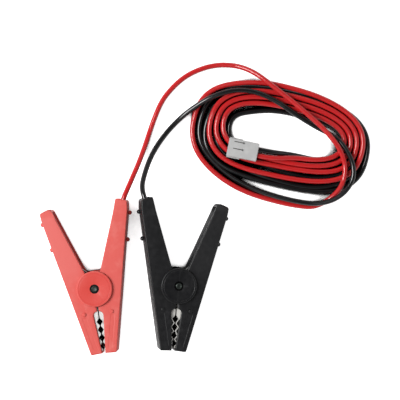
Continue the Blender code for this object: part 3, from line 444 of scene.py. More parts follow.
def select(piece, kind, wanted):
    """Enter edit mode with only the wanted vertices or faces selected."""
    only(piece)
    bpy.ops.object.mode_set(mode="EDIT")
    bpy.ops.mesh.select_mode(type=kind)
    bpy.ops.mesh.select_all(action="DESELECT")
    bpy.ops.object.mode_set(mode="OBJECT")
    for part in piece.data.vertices if kind == "VERT" else piece.data.polygons:
        part.select = wanted(part)
    bpy.ops.object.mode_set(mode="EDIT")


for colour in ("red", "black"):
    place = clamp_place[colour]
    back = place.inverted()
    arm = finer(colour + "_cable_arm", colour + "_cable_moulding")
    finish_mesh(arm)
    hand_over(arm, FIXED_SIDE, PLASTIC[colour], colour + "_plastic", colour + "_cable_arm")
    arm = finer(colour + "_free_arm", colour + "_free_moulding")
    for face in (-1.0, 1.0):
        select(arm, "VERT", lambda vertex: (
            (back @ vertex.co).xy.length < SINK_RADIUS * 1.05
            and abs((back @ vertex.co).z - face * DISC_FACE) < DISH / 4))
        inward = place.to_3x3() @ Vector((0.0, 0.0, -face * DISH))
        bpy.ops.transform.translate(value=inward)
        bpy.ops.object.mode_set(mode="OBJECT")
    finish_mesh(arm)
    hand_over(arm, FREE_SIDE[colour], PLASTIC[colour], colour + "_plastic",
              colour + "_free_arm")
    for node, name, body in (("jaw_pin", "cable_side_peg", FIXED_SIDE),
                             ("free_pin", "free_side_peg", FREE_SIDE[colour])):
        peg = finer(f"{colour}_{node}", f"{colour}_{name}", flatten=True)
        finish_mesh(peg, PEG_EDGE)
        hand_over(peg, body, PLASTIC[colour], colour + "_plastic", f"{colour}_{node}")


# -------------------------------------------------------------- the metal parts
# The jaws are pressed from nickel-plated steel sheet, bright outside; the
# channel's inside is coloured near black, a painted shade.  The crimps and contacts
# are plated too; the rivets and springs are plain steel that has gone grey.
plating, sockets, ends = new_group(
    "plated_sheet",
    [("Colour", "NodeSocketColor", (0.7, 0.7, 0.7, 1.0)),
     ("Stain", "NodeSocketColor", (0.5, 0.5, 0.5, 1.0)),
     ("Smoothest", "NodeSocketFloat", 0.12),
     ("Roughest", "NodeSocketFloat", 0.30)],
    [("Colour", "NodeSocketColor"), ("Roughness", "NodeSocketFloat"),
     ("Height", "NodeSocketFloat")])
rolled_grain = noise(plating, 900.0, 3.0, (1.0, 0.08, 1.0))
stains = ranged(plating, noise(plating, 260.0, 5.0), 0.48, 0.72, 0.0, 0.8)
plating.links.new(mixed(plating, stains, sockets.outputs["Colour"],
                        sockets.outputs["Stain"]), ends.inputs["Colour"])
plating.links.new(ranged(plating, rolled_grain, 0.3, 0.7, sockets.outputs["Smoothest"],
                         sockets.outputs["Roughest"]), ends.inputs["Roughness"])
plating.links.new(rolled_grain, ends.inputs["Height"])


def metal(name, colour, stain, smoothest, roughest, bump=0.15):
    made, shader, effect = principled(name, plating, bump=bump, Colour=colour, Stain=stain,
                                      Smoothest=smoothest, Roughest=roughest)
    shader.inputs["Metallic"].default_value = 1.0
    return made


nickel = metal("nickel_plate", (0.62, 0.61, 0.59, 1.0), (0.24, 0.23, 0.21, 1.0), 0.10, 0.28)
# Painted shade: near-black metal for the inside of the jaws' channel, where shade falls.
channel_shade_nickel = metal("channel_shade_nickel", (0.055, 0.053, 0.050, 1.0), (0.025, 0.024, 0.023, 1.0),
                    0.45, 0.65)
rivet_steel = metal("rivet_steel", (0.055, 0.064, 0.058, 1.0), (0.030, 0.034, 0.030, 1.0),
                    0.30, 0.50)
# Painted shade: the washers are near black, for the shade deep in the rivets' seats.
seat_shade_washer = metal("painted_shade_washer", (0.012, 0.012, 0.012, 1.0), (0.006, 0.006, 0.006, 1.0),
                     0.30, 0.50)
spring_steel = metal("spring_steel", (0.42, 0.42, 0.41, 1.0), (0.26, 0.25, 0.23, 1.0), 0.20, 0.36)
copper = metal("bare_copper", (0.80, 0.42, 0.26, 1.0), (0.55, 0.24, 0.13, 1.0), 0.22, 0.40)


# ------------------------------------------------------------------- the jaws
# Each arm holds a channel of sheet with toothed legs.  The cut edges are
# slightly broken, and coloured near white, a painted glint; the channel's inside
# is coloured near black, a painted shade.  The black clamp's sheet is coloured
# dark, a painted dark reflection, with a painted reflection near the window's
# top and a painted glint along its teeth.
LEG_OUTSIDE = ARM_HALF_WIDTH - WALL - CLEARANCE     # mid plane to a leg's outside
SHEET = 0.0010
SHEET_EDGE = 0.0002
LEVEL = 0.97                 # cosine: a face that lies level, as its piece is made
GLARE_DOWN_TO = (-0.0194, -0.0184)      # the black clamp's sheet is painted bright above this only, a painted reflection
PAINTED_GLINT_COLOUR = (0.90, 0.89, 0.86, 1.0)
GLARE_ROUGHNESS = 0.80
GLINT_RIM = 0.00025           # how far its teeth are painted bright along their edges, a painted glint
ON_SHOW, SHADED, BRIGHT = range(3)        # a jaw's materials, in their order

# Painted glint: cut edges, and the black clamp's band along its teeth, are coloured near white.
painted_glint_edge = metal("painted_glint_edge", PAINTED_GLINT_COLOUR, (0.80, 0.78, 0.74, 1.0), 0.58, 0.72)
# Painted dark reflection: the black clamp's sheet is coloured dark, and near white towards the
# window's top, a painted reflection.
dark_reflection_nickel, shader, effect = principled(
    "dark_reflection_nickel", plating, bump=0.15, Colour=(0.13, 0.13, 0.125, 1.0),
    Stain=(0.05, 0.05, 0.05, 1.0), Smoothest=0.14, Roughest=0.34)
shader.inputs["Metallic"].default_value = 1.0
tree = dark_reflection_nickel.node_tree
place = tree.nodes.new("ShaderNodeSeparateXYZ")
tree.links.new(on_clamp(tree, "black"), place.inputs[0])
painted_glare = ranged(tree, place.outputs["Y"], *GLARE_DOWN_TO)
tree.links.new(maths(tree, "MAXIMUM", effect.outputs["Roughness"],
                     maths(tree, "MULTIPLY", painted_glare, GLARE_ROUGHNESS)),
               shader.inputs["Roughness"])
tree.links.new(mixed(tree, painted_glare, effect.outputs["Colour"], PAINTED_GLINT_COLOUR),
               shader.inputs["Base Color"])
SHEET_FACES = {"red": nickel, "black": dark_reflection_nickel}


def on_show(face, back):
    """Whether a face is the outside of a leg, which the window shows."""
    return (abs((back.to_3x3() @ face.normal).z) > LEVEL
            and abs((back @ face.center).z) > LEG_OUTSIDE - SHEET / 4)


for colour in ("red", "black"):
    back = clamp_place[colour].inverted()
    for node, body in (("cable_jaw", FIXED_SIDE), ("free_jaw", FREE_SIDE[colour])):
        jaw = finer(f"{colour}_{node}", f"{colour}_{node}_sheet", flatten=True)
        jaw.data.attributes.new("rim", "BOOLEAN", "FACE")
        # The black clamp's leg outsides get an inset band along their edges, painted bright as a
        # glint.
        if colour == "black":
            select(jaw, "FACE", lambda face: on_show(face, back))
            bpy.ops.mesh.inset(thickness=SHEET_EDGE + GLINT_RIM)
            bpy.ops.mesh.select_all(action="INVERT")
            bpy.ops.object.mode_set(mode="OBJECT")
            rim = jaw.data.attributes["rim"].data
            for face in jaw.data.polygons:
                rim[face.index].value = face.select
        finish_mesh(jaw, SHEET_EDGE)
        hand_over(jaw, body, SHEET_FACES[colour], "nickel_sheet", f"{colour}_{node}")
        jaw.data.materials.append(channel_shade_nickel)
        jaw.data.materials.append(painted_glint_edge)
        glinting = [item.value for item in jaw.data.attributes["rim"].data]
        jaw.data.attributes.remove(jaw.data.attributes["rim"])
        # Leg outsides keep the plate; other faces get the channel's painted shade, and the
        # outermost cut edges a painted glint.
        for face in jaw.data.polygons:
            level = abs((back.to_3x3() @ face.normal).z) > LEVEL
            outermost = abs((back @ face.center).z) > LEG_OUTSIDE - SHEET / 2
            if on_show(face, back):
                face.material_index = BRIGHT if glinting[face.index] else ON_SHOW
            else:
                face.material_index = BRIGHT if outermost and not level else SHADED


# ----------------------------------------------------------------- the rivets
# The pivot is a steel rivet with low domed heads, which sit deep in the discs
# over thin near-black washers, a painted shade in the seats.
RIVET_RADIUS = 0.0012
RIVET_HEAD_RADIUS = 0.0017
RIVET_HEAD = 0.0006
RIVET_EDGE = 0.00008
HEAD_RIM = 0.6               # share of the head's height that its rim takes
HEAD_CROWN = 0.25            # how far in, as a share of its radius, its crown starts
HEAD_DIMPLE = 0.35           # and how much further in its dimple starts
DIMPLE_DEPTH = 0.5           # share of the head's height
WASHER_THICKNESS = 0.0002
WASHER_EDGE = 0.00004
WASHER_PLAY = 0.00008        # round the washer in its seat, and round the rivet in it
WASHER_LIFT = 0.00002        # off the seat's floor


def lies_level(face):
    return abs(face.normal.z) > LEVEL


def bore(piece, wall):
    """Bore an upright cylinder through, leaving the wall, and stay in edit mode."""
    select(piece, "FACE", lies_level)
    bpy.ops.mesh.inset(thickness=wall)
    bpy.ops.mesh.bridge_edge_loops()


for colour in ("red", "black"):
    seat = SINK_FLOOR + CLEARANCE
    bpy.ops.object.select_all(action="DESELECT")
    bpy.ops.mesh.primitive_cylinder_add(vertices=40, radius=RIVET_RADIUS, depth=2 * seat)
    rivet = bpy.context.active_object
    rivet.name = colour + "_rivet"
    wider = RIVET_HEAD_RADIUS / RIVET_RADIUS
    for side in (-1.0, 1.0):
        select(rivet, "FACE", lambda face: (
            lies_level(face) and abs(face.center.z - side * seat) < RIVET_HEAD / 30))
        bpy.ops.mesh.extrude_region_move()
        bpy.ops.transform.resize(value=(wider, wider, 1.0), center_override=(0.0, 0.0, 0.0))
        bpy.ops.mesh.extrude_region_move(
            TRANSFORM_OT_translate={"value": (0.0, 0.0, side * RIVET_HEAD * HEAD_RIM)})
        bpy.ops.mesh.inset(thickness=RIVET_HEAD_RADIUS * HEAD_CROWN)
        bpy.ops.transform.translate(value=(0.0, 0.0, side * RIVET_HEAD * (1.0 - HEAD_RIM)))
        bpy.ops.mesh.inset(thickness=RIVET_HEAD_RADIUS * HEAD_DIMPLE)
        bpy.ops.transform.translate(value=(0.0, 0.0, -side * RIVET_HEAD * DIMPLE_DEPTH))
        bpy.ops.object.mode_set(mode="OBJECT")
    finish_mesh(rivet, RIVET_EDGE)
    rivet.data.transform(clamp_place[colour])
    hand_over(rivet, FIXED_SIDE, rivet_steel, "steel", colour + "_pivot_rivet")
    for side, name in ((-1.0, "lower"), (1.0, "upper")):
        bpy.ops.object.select_all(action="DESELECT")
        bpy.ops.mesh.primitive_cylinder_add(
            vertices=48, radius=SINK_RADIUS - WASHER_PLAY, depth=WASHER_THICKNESS,
            location=(0.0, 0.0, side * (SINK_FLOOR + WASHER_THICKNESS / 2 + WASHER_LIFT)))
        washer = bpy.context.active_object
        washer.name = f"{colour}_{name}_washer"
        bpy.ops.object.transform_apply(location=True)
        bore(washer, SINK_RADIUS - RIVET_RADIUS - 2 * WASHER_PLAY)
        bpy.ops.object.mode_set(mode="OBJECT")
        finish_mesh(washer, WASHER_EDGE, 1)
        washer.data.transform(clamp_place[colour])
        hand_over(washer, FREE_SIDE[colour], seat_shade_washer, "steel")


# ---------------------------------------------------------------- the springs
# A torsion spring of round wire sits on the rivet between the ears.  Its legs
# push the handles apart.
SPRING_WIRE = 0.0011
SPRING_RADIUS = 0.0038       # to the middle of the wire
SPRING_TURNS = 3             # whole turns, beside the part turn between its legs
SPRING_HALF_HEIGHT = 0.00215
LEG_INSET = {"cable": 0.00395, "free": 0.00265}     # the outer edge to a leg's end
LEG_REACH = {"cable": 0.0185, "free": 0.0220}
SPRING_STEPS = 40            # points in a turn
LEG_STEPS = 12


def tube(name, points, diameter, resolution):
    """A round tube with closed ends, as a curve through the points."""
    curve = bpy.data.curves.new(name, "CURVE")
    curve.dimensions = "3D"
    curve.bevel_depth = diameter / 2
    curve.bevel_resolution = resolution
    curve.use_fill_caps = True
    spline = curve.splines.new("POLY")
    spline.points.add(len(points) - 1)
    for knot, point in zip(spline.points, points):
        knot.co = (*point, 1.0)
    spline.use_smooth = True
    piece = bpy.data.objects.new(name, curve)
    bpy.context.scene.collection.objects.link(piece)
    return piece


def along_handle(y, inset):
    """A point in a clamp's handle, inset from its outer edge."""
    return Vector((WAIST + FLARE * y - inset * math.hypot(1.0, FLARE), y, 0.0))


def leaves_at(tip):
    """The angle round the spring where a straight leg to the tip leaves it."""
    swing = math.acos(SPRING_RADIUS / tip.length)
    return math.atan2(tip.y, tip.x) + (swing if tip.x > 0 else -swing)


for colour in ("red", "black"):
    cable_tip = along_handle(LEG_REACH["cable"], LEG_INSET["cable"]).xy
    free_tip = along_handle(LEG_REACH["free"], LEG_INSET["free"]).xy
    free_tip.x = -free_tip.x
    first, last = leaves_at(free_tip), leaves_at(cable_tip) - 2.0 * math.pi * SPRING_TURNS
    steps = round((first - last) / (2.0 * math.pi) * SPRING_STEPS)
    turns = []
    for index in range(steps + 1):
        angle = first + (last - first) * index / steps
        turns.append(Vector((SPRING_RADIUS * math.cos(angle), SPRING_RADIUS * math.sin(angle),
                             SPRING_HALF_HEIGHT * (2 * index / steps - 1))))
    legs = []
    for tip, end in ((free_tip, turns[0]), (cable_tip, turns[-1])):
        tip = Vector((*tip, end.z))
        legs.append([tip.lerp(end, index / LEG_STEPS) for index in range(LEG_STEPS)])
    path = [clamp_place[colour] @ point for point in legs[0] + turns + legs[1][::-1]]
    spring = tube(colour + "_spring", path, SPRING_WIRE, resolution=4)
    only(spring)
    bpy.ops.object.convert(target="MESH")
    spring = bpy.context.active_object
    bpy.ops.object.mode_set(mode="EDIT")
    bpy.ops.mesh.select_all(action="SELECT")
    bpy.ops.mesh.remove_doubles(threshold=0.000001)
    bpy.ops.object.mode_set(mode="OBJECT")
    bpy.ops.object.shade_smooth_by_angle(angle=math.radians(SMOOTH_ANGLE))
    spring.data.materials.append(spring_steel)
    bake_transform(spring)
    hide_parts(colour + "_torsion_spring")


# ----------------------------------------------------------------- the crimps
# The live jaw's tail is crimped on the bare end of its core: a rolled sleeve
# with two pressed dents, round a bundle of fine copper strands.
CRIMP_RADIUS = 0.0019
CRIMP_BORE = 0.0013
CRIMP_INSET = 0.0053         # the outer edge to the middle of the wire, at the crimp
CRIMP_START = 0.0220         # along the handle
CRIMP_LENGTH = 0.0075
BARE_END = 0.0010            # bare wire past each end of the sleeve
STRAND_RADIUS = 0.00030
STRAND_RINGS = ((1, 0.0), (6, 0.00062))     # strands in each ring, and its radius
STRAND_EDGE = 0.00006
SLEEVE_EDGE = 0.0001
SLEEVE_CUTS = 20             # rings of faces along the sleeve
DENTS = (0.30, 0.70)         # shares of its length
DENT_REACH = 0.14
DENT_DEPTH = 0.0004

handle_line = Vector((FLARE, 1.0, 0.0)).normalized()
for colour in ("red", "black"):
    upright = handle_line.to_track_quat("Z", "Y").to_matrix().to_4x4()
    start = Matrix.Translation(along_handle(CRIMP_START, CRIMP_INSET))
    crimp_place = clamp_place[colour] @ start @ upright
    bpy.ops.object.select_all(action="DESELECT")
    bpy.ops.mesh.primitive_cylinder_add(vertices=32, radius=CRIMP_RADIUS, depth=CRIMP_LENGTH,
                                        location=(0.0, 0.0, CRIMP_LENGTH / 2))
    sleeve = bpy.context.active_object
    sleeve.name = colour + "_crimp"
    bpy.ops.object.transform_apply(location=True)
    bore(sleeve, CRIMP_RADIUS - CRIMP_BORE)
    for cut in range(1, SLEEVE_CUTS):
        bpy.ops.mesh.select_all(action="SELECT")
        bpy.ops.mesh.bisect(plane_co=(0.0, 0.0, CRIMP_LENGTH * cut / SLEEVE_CUTS),
                            plane_no=(0.0, 0.0, 1.0))
    bpy.ops.object.mode_set(mode="OBJECT")
    for vertex in sleeve.data.vertices:
        along = vertex.co.z / CRIMP_LENGTH
        if vertex.co.x < 0.0 and vertex.co.xy.length > (CRIMP_RADIUS + CRIMP_BORE) / 2:
            for dent in DENTS:
                near = max(0.0, 1.0 - ((along - dent) / DENT_REACH) ** 2)
                vertex.co.x += DENT_DEPTH * near * abs(vertex.co.x) / CRIMP_RADIUS
    finish_mesh(sleeve, SLEEVE_EDGE)
    sleeve.data.transform(crimp_place)
    hand_over(sleeve, FIXED_SIDE, nickel, "nickel_sheet", colour + "_crimp_sleeve")
    strands = []
    for count, ring_radius in STRAND_RINGS:
        for index in range(count):
            angle = 2.0 * math.pi * index / count
            bpy.ops.object.select_all(action="DESELECT")
            bpy.ops.mesh.primitive_cylinder_add(
                vertices=12, radius=STRAND_RADIUS, depth=CRIMP_LENGTH + 2 * BARE_END,
                location=(ring_radius * math.cos(angle), ring_radius * math.sin(angle),
                          CRIMP_LENGTH / 2))
            strand = bpy.context.active_object
            bpy.ops.object.transform_apply(location=True)
            finish_mesh(strand, STRAND_EDGE, 1)
            strands.append(strand)
    bpy.ops.object.select_all(action="DESELECT")
    for strand in strands:
        strand.select_set(True)
    bpy.context.view_layer.objects.active = strands[0]
    bpy.ops.object.join()
    bundle = bpy.context.active_object
    bundle.name = colour + "_strands"
    bundle.data.transform(crimp_place)
    hand_over(bundle, FIXED_SIDE, copper, "copper", colour + "_conductor_end")


# --------------------------------------------------------------------- the plug
# A small housing moulded in natural grey nylon, slightly milky, with two latch
# grooves in its top, coloured dark as painted shade, and a crimp contact in each of its ways.
PLUG_PLACE = (0.0618, 0.0717, 0.0100)
PLUG_TURN = -11.4            # degrees
PLUG_LENGTH = 0.0174
PLUG_HEIGHT = 0.0064
PLUG_EDGE = 0.00012
CONTACT_EDGE = 0.00008
GROOVES = (0.0037, -0.0003)  # across its width
GROOVE_WIDTH = 0.0005
GROOVE_LENGTH = 0.0066       # from the mating end to the far side of its window

nylon, shader, effect = principled(
    "grey_nylon", moulding, bump=0.25, Colour=(0.46, 0.46, 0.455, 1.0),
    Rubbed_colour=(0.53, 0.53, 0.525, 1.0), Smoothest=0.38, Roughest=0.54)
shader.inputs["Subsurface Weight"].default_value = 0.15
shader.inputs["Subsurface Radius"].default_value = (0.0008, 0.0008, 0.0008)
# Painted shade: near-black nylon for the latch grooves, where shade falls.
groove_shade_nylon, shader, effect = principled(
    "groove_shade_nylon", moulding, bump=0.25, Colour=(0.060, 0.058, 0.055, 1.0),
    Rubbed_colour=(0.12, 0.115, 0.11, 1.0), Smoothest=0.55, Roughest=0.70)
plug_place = Matrix.Translation(PLUG_PLACE) @ Matrix.Rotation(math.radians(PLUG_TURN), 4, "Z")
housing = finer("connector_housing", "plug_housing", flatten=True)
finish_mesh(housing, PLUG_EDGE)
hand_over(housing, FIXED_SIDE, nylon, "nylon", "connector_housing")
housing.data.materials.append(groove_shade_nylon)
# The faces in the latch grooves get the painted shade.
for face in housing.data.polygons:
    middle = plug_place.inverted() @ face.center
    off_groove = min(abs(middle.y - groove) for groove in GROOVES)
    sunk = PLUG_HEIGHT / 4 < middle.z < PLUG_HEIGHT / 2 - GROOVE_WIDTH / 4
    if sunk and off_groove < GROOVE_WIDTH and middle.x < GROOVE_LENGTH - PLUG_LENGTH / 2:
        face.material_index = 1
for colour in ("red", "black"):
    contact = finer(colour + "_contact", colour + "_plug_contact", flatten=True)
    finish_mesh(contact, CONTACT_EDGE, 1)
    hand_over(contact, FIXED_SIDE, nickel, "nickel_sheet", colour + "_contact")


# --------------------------------------------------------------------- the lead
# Two single cores of flexible wire, red and black, run loose from the clamps to
# a coil of four turns that was wound by hand, and from its last turn into the
# plug.  The sheath is smooth, soft and glossy; each core is one length.
WIRE_DIAMETER = 0.0029
RED_LENGTH = 1.12            # from the crimp in the clamp to the plug
BLACK_LENGTH = 1.12
WIRE_START = 0.0308          # along the handle, where the sheath starts
HANDLE_END = 0.0493
EXIT_INSET = 0.0033          # and where it leaves the handle
MOUTH_INSET = 0.0008         # where it lies on the handle's wall, inside the mouth
DRIFT = 0.65                 # share of its run in the handle before it lies there
STRAIGHT = 0.0030            # it leaves the crimp and the plug straight

WIRE_POCKET = 0.0016         # how far the wires reach into the plug
WAY = {"red": -0.00155, "black": 0.00185}      # across the plug

INNER_OVAL = (0.0867, 0.0821, 0.0340, 0.0126, -12.6)    # x, y, half sizes, turn
OUTER_OVAL = (0.0860, 0.0795, 0.0473, 0.0281, -13.5)
OVAL_POWER = 0.82            # below 1 fills out the ovals' corners
COIL_START = 0.2             # turns
COIL_END = 4.2
POINTS_PER_TURN = 96
TABLE_LAYER = 0.0015         # height of the lower layer's middle
LAYER_RISE = 0.0033
RED_LANE = 1.12
RED_LANE_STEP = 0.275        # lanes it moves in, each turn
RED_WIDE = 0.47              # how much wider the first half loop is thrown
RED_DRAWN_IN = (0.48, 0.36)  # the turn where it starts to come in, and over how much
RED_CLIMB = (0.52, 0.20)     # and where it climbs onto the black
RED_SPREAD = 0.08            # its last part eases out to the plug's way
RED_LEAVES = (4.0, 0.2)
BLACK_LANE = 1.14
BLACK_LANE_STEP = 0.30
BLACK_SWAY = 0.30            # its loops lie off centre by this many lanes
BLACK_SWAY_STEP = 0.03       # and by this many more, each turn
BLACK_SWAY_TURN = 0.1        # the turn where they lie furthest out
BLACK_BULGE = 0.42           # its first loops bulge out at the left-hand end
BLACK_BULGE_POWER = 6        # how short the bulge is
BLACK_BULGE_FADES = (1.6, 2.6)
BLACK_TUCK = 0.29            # its last part is tucked in under the red
BLACK_TUCKED = (3.85, 0.35)
BLACK_LANDS = (COIL_START, 0.14)
RED_SETTLED = (              # where its loops have slid in the winding: the phase of a
    (0.22, 0.12, (0.0, -0.075, -0.11, 0.0)),        # turn, its spread, and each loop's lanes
    (0.37, 0.09, (-0.11, 0.12, 0.12, 0.12)),
    (0.64, 0.07, (-0.14, 0.0, 0.0, 0.0)))
BLACK_SETTLED = (
    (0.22, 0.12, (0.07, -0.055, 0.12, 0.11, 0.06)),
    (0.37, 0.09, (-0.11, 0.13, 0.10, 0.10)),
    (0.72, 0.08, (0.0, 0.0, 0.0, 0.13)),
    (0.95, 0.10, (0.0, 0.0, 0.0, -0.15)))
SETTLE_STEP = 0.0006         # between the points along a settled core
SETTLE_ROUNDS = 30           # how often its kinks are eased out
TAIL_REACH = 0.011           # how far the run into the plug keeps its heading
BLACK_START_LIFT = 0.0031    # it comes down onto the table from over the red
RED_END_LIFT = 0.0016        # the red leaves for the plug over its own loops

RED_ROUTE = (
    (-0.0029, 0.0517, 0.0100), (0.0020, 0.0634, 0.0066), (0.0053, 0.0725, 0.0034),
    (0.0079, 0.0805, 0.0018), (0.0110, 0.0895, 0.0016), (0.0156, 0.1000, 0.0016),
    (0.0215, 0.1075, 0.0016), (0.0285, 0.1137, 0.0016), (0.0374, 0.1182, 0.0016),
    (0.0480, 0.1207, 0.0017), (0.0594, 0.1198, 0.0031), (0.0685, 0.1159, 0.0067),
    (0.0760, 0.1105, 0.0084), (0.0837, 0.1045, 0.0085), (0.0920, 0.0978, 0.0090),
    (0.1002, 0.0907, 0.0100), (0.1076, 0.0839, 0.0104), (0.1136, 0.0771, 0.0107),
    (0.1180, 0.0703, 0.0096), (0.1203, 0.0630, 0.0085), (0.1199, 0.0560, 0.0086),
    (0.1178, 0.0500, 0.0068), (0.1138, 0.0453, 0.0037), (0.1085, 0.0415, 0.0017),
    (0.1036, 0.0394, 0.0016),
)
BLACK_ROUTE = (
    (0.0044, 0.0500, 0.0126), (0.0056, 0.0570, 0.0096), (0.0088, 0.0665, 0.0052),
    (0.0136, 0.0755, 0.0023), (0.0202, 0.0841, 0.0016), (0.0275, 0.0913, 0.0021),
    (0.0320, 0.0947, 0.0037), (0.0365, 0.0977, 0.0054), (0.0410, 0.1004, 0.0070),
    (0.0460, 0.1027, 0.0079), (0.0550, 0.1054, 0.0084), (0.0630, 0.1058, 0.0084),
    (0.0710, 0.1041, 0.0084), (0.0790, 0.1006, 0.0083), (0.0870, 0.0956, 0.0084),
    (0.0950, 0.0902, 0.0074), (0.1035, 0.0851, 0.0060), (0.1100, 0.0817, 0.0061),
    (0.1158, 0.0781, 0.0075), (0.1206, 0.0723, 0.0085), (0.1242, 0.0653, 0.0083),
    (0.1253, 0.0580, 0.0083), (0.1233, 0.0517, 0.0082), (0.1188, 0.0463, 0.0078),
    (0.1122, 0.0425, 0.0066), (0.1055, 0.0411, 0.0052),
)


def ease(turn, phase):
    """0 before a phase of the winding, 1 after it, and a smooth climb between."""
    start, span = phase
    share = min(max((turn - start) / span, 0.0), 1.0)
    return share * share * (3.0 - 2.0 * share)


def oval_point(oval, turn):
    x, y, half_length, half_width, tilt = oval
    angle = -2.0 * math.pi * turn
    along = half_length * math.copysign(abs(math.cos(angle)) ** OVAL_POWER, math.cos(angle))
    across = half_width * math.copysign(abs(math.sin(angle)) ** OVAL_POWER, math.sin(angle))
    return Vector((x, y)) + Matrix.Rotation(math.radians(tilt), 2) @ Vector((along, across))


def settled(turn, slides):
    """How many lanes a loop has slid at this turn."""
    slid = 0.0
    for phase, spread, loops in slides:
        for loop, lanes in enumerate(loops):
            slid += lanes * math.exp(-((turn - loop - phase) / spread) ** 2)
    return slid


def red_loop(turn):
    """The red core's lane and height: it climbs onto the black in turn one."""
    wide = RED_WIDE * (1.0 - ease(turn, RED_DRAWN_IN))
    spread = RED_SPREAD * ease(turn, RED_LEAVES)
    lane = RED_LANE - RED_LANE_STEP * turn + wide + spread + settled(turn, RED_SETTLED)
    leaving = RED_END_LIFT * ease(turn, RED_LEAVES)
    return lane, TABLE_LAYER + LAYER_RISE * ease(turn, RED_CLIMB) + leaving


def black_loop(turn):
    """The black core's lane and height, on the table all the way round."""
    round_off = math.cos(2.0 * math.pi * (turn - BLACK_SWAY_TURN))
    sway = (BLACK_SWAY + BLACK_SWAY_STEP * turn) * round_off
    left_end = math.sin(math.pi * turn) ** BLACK_BULGE_POWER
    bulge = BLACK_BULGE * left_end * (1.0 - ease(turn, BLACK_BULGE_FADES))
    tuck = BLACK_TUCK * ease(turn, BLACK_TUCKED)
    landing = BLACK_START_LIFT * (1.0 - ease(turn, BLACK_LANDS))
    lane = BLACK_LANE - BLACK_LANE_STEP * turn + sway + bulge - tuck
    lane += settled(turn, BLACK_SETTLED)
    return lane, TABLE_LAYER + landing


def coil_point(loop, turn):
    lane, height = loop(turn)
    flat = oval_point(INNER_OVAL, turn).lerp(oval_point(OUTER_OVAL, turn), lane)
    return Vector((*flat, height))


def through(knots, steps=6):
    """Points on a smooth curve through the knots."""
    knots = [Vector(knot) for knot in knots]
    ends = [2 * knots[0] - knots[1]] + knots + [2 * knots[-1] - knots[-2]]
    points = []
    for before, start, end, after in zip(ends, ends[1:], ends[2:], ends[3:]):
        for step in range(steps):
            t = step / steps
            points.append(0.5 * (2 * start + (end - before) * t
                                 + (2 * before - 5 * start + 4 * end - after) * t ** 2
                                 + (3 * start - before - 3 * end + after) * t ** 3))
    return points + [knots[-1]]


def into_plug(start, heading, end, along_plug, steps=24):
    """The curve from the last turn of the coil to the plug's wire end."""
    first = start + heading * TAIL_REACH
    last = end - along_plug * TAIL_REACH
    for index in range(1, steps + 1):
        t = index / steps
        yield (start * (1 - t) ** 3 + first * 3 * t * (1 - t) ** 2
               + last * 3 * t * t * (1 - t) + end * t ** 3)


def eased(points):
    """The same line in even steps, its kinks eased out and its ends held."""
    even = [points[0]]
    for end in points[1:]:
        while (end - even[-1]).length >= SETTLE_STEP:
            even.append(even[-1] + (end - even[-1]).normalized() * SETTLE_STEP)
    even.append(points[-1])
    for _ in range(SETTLE_ROUNDS):
        middle = [(before + 2 * here + after) / 4
                  for before, here, after in zip(even, even[1:], even[2:])]
        even = [even[0]] + middle + [even[-1]]
    return even


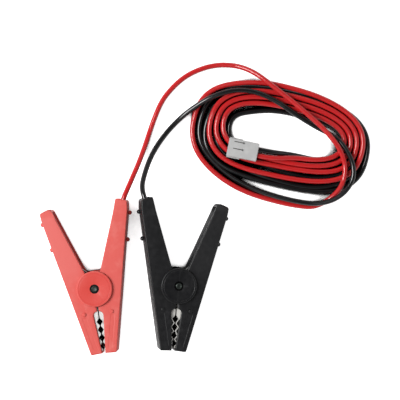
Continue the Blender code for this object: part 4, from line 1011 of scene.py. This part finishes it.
def wire_points(colour, route, loop):
    """The middle line of a core, from its crimp to the plug."""
    handle = [(WIRE_START, CRIMP_INSET), (WIRE_START + STRAIGHT, CRIMP_INSET),
              (WIRE_START + (HANDLE_END - WIRE_START) * DRIFT, (CRIMP_INSET + EXIT_INSET) / 2),
              (HANDLE_END - MOUTH_INSET, EXIT_INSET)]
    knots = [clamp_place[colour] @ along_handle(*place) for place in handle] + list(route)
    turns = []
    count = round((COIL_END - COIL_START) * POINTS_PER_TURN)
    for index in range(count + 1):
        turn = COIL_START + (COIL_END - COIL_START) * index / count
        turns.append(coil_point(loop, turn))
    heading = (turns[1] - turns[0]).normalized()
    knots.append(turns[0] - heading * (CLEARANCE + STRAIGHT))
    knots.append(turns[0])
    wire_end = plug_place @ Vector((PLUG_LENGTH / 2 - WIRE_POCKET + CLEARANCE, WAY[colour], 0.0))
    along_plug = plug_place.to_3x3() @ Vector((-1.0, 0.0, 0.0))
    straight = wire_end - along_plug * (STRAIGHT + WIRE_POCKET)
    leaving = (turns[-1] - turns[-2]).normalized()
    return eased(through(knots)[:-1] + turns
                 + list(into_plug(turns[-1], leaving, straight, along_plug)) + [wire_end])


sheathing, sockets, ends = new_group(
    "drawn_sheath",
    [("Colour", "NodeSocketColor", (0.5, 0.5, 0.5, 1.0)),
     ("Dull colour", "NodeSocketColor", (0.4, 0.4, 0.4, 1.0)),
     ("Smoothest", "NodeSocketFloat", 0.16),
     ("Roughest", "NodeSocketFloat", 0.34)],
    [("Colour", "NodeSocketColor"), ("Roughness", "NodeSocketFloat"),
     ("Height", "NodeSocketFloat")])
handled = noise(sheathing, 180.0, 4.0)
sheathing.links.new(mixed(sheathing, ranged(sheathing, handled, 0.35, 0.70, 0.0, 0.7),
                          sockets.outputs["Colour"], sockets.outputs["Dull colour"]),
                    ends.inputs["Colour"])
sheathing.links.new(ranged(sheathing, noise(sheathing, 520.0, 5.0), 0.3, 0.7,
                           sockets.outputs["Smoothest"], sockets.outputs["Roughest"]),
                    ends.inputs["Roughness"])
sheathing.links.new(noise(sheathing, 700.0, 2.0), ends.inputs["Height"])

red_sheath, shader, effect = principled(
    "red_sheath", sheathing, bump=0.10, Colour=(0.57, 0.014, 0.016, 1.0),
    Dull_colour=(0.50, 0.017, 0.018, 1.0), Smoothest=0.07, Roughest=0.17)
shader.inputs["IOR"].default_value = 1.55
black_sheath, shader, effect = principled(
    "black_sheath", sheathing, bump=0.10, Colour=(0.0035, 0.0037, 0.0042, 1.0),
    Dull_colour=(0.008, 0.008, 0.009, 1.0), Smoothest=0.07, Roughest=0.17)
shader.inputs["IOR"].default_value = 1.55

for colour, route, loop, length, material in (
        ("red", RED_ROUTE, red_loop, RED_LENGTH, red_sheath),
        ("black", BLACK_ROUTE, black_loop, BLACK_LENGTH, black_sheath)):
    wire = tube(colour + "_wire", wire_points(colour, route, loop), WIRE_DIAMETER, resolution=6)
    wire.data.materials.append(material)
    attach(wire, FIXED_SIDE)
    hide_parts(colour + "_lead", colour + "_coil")
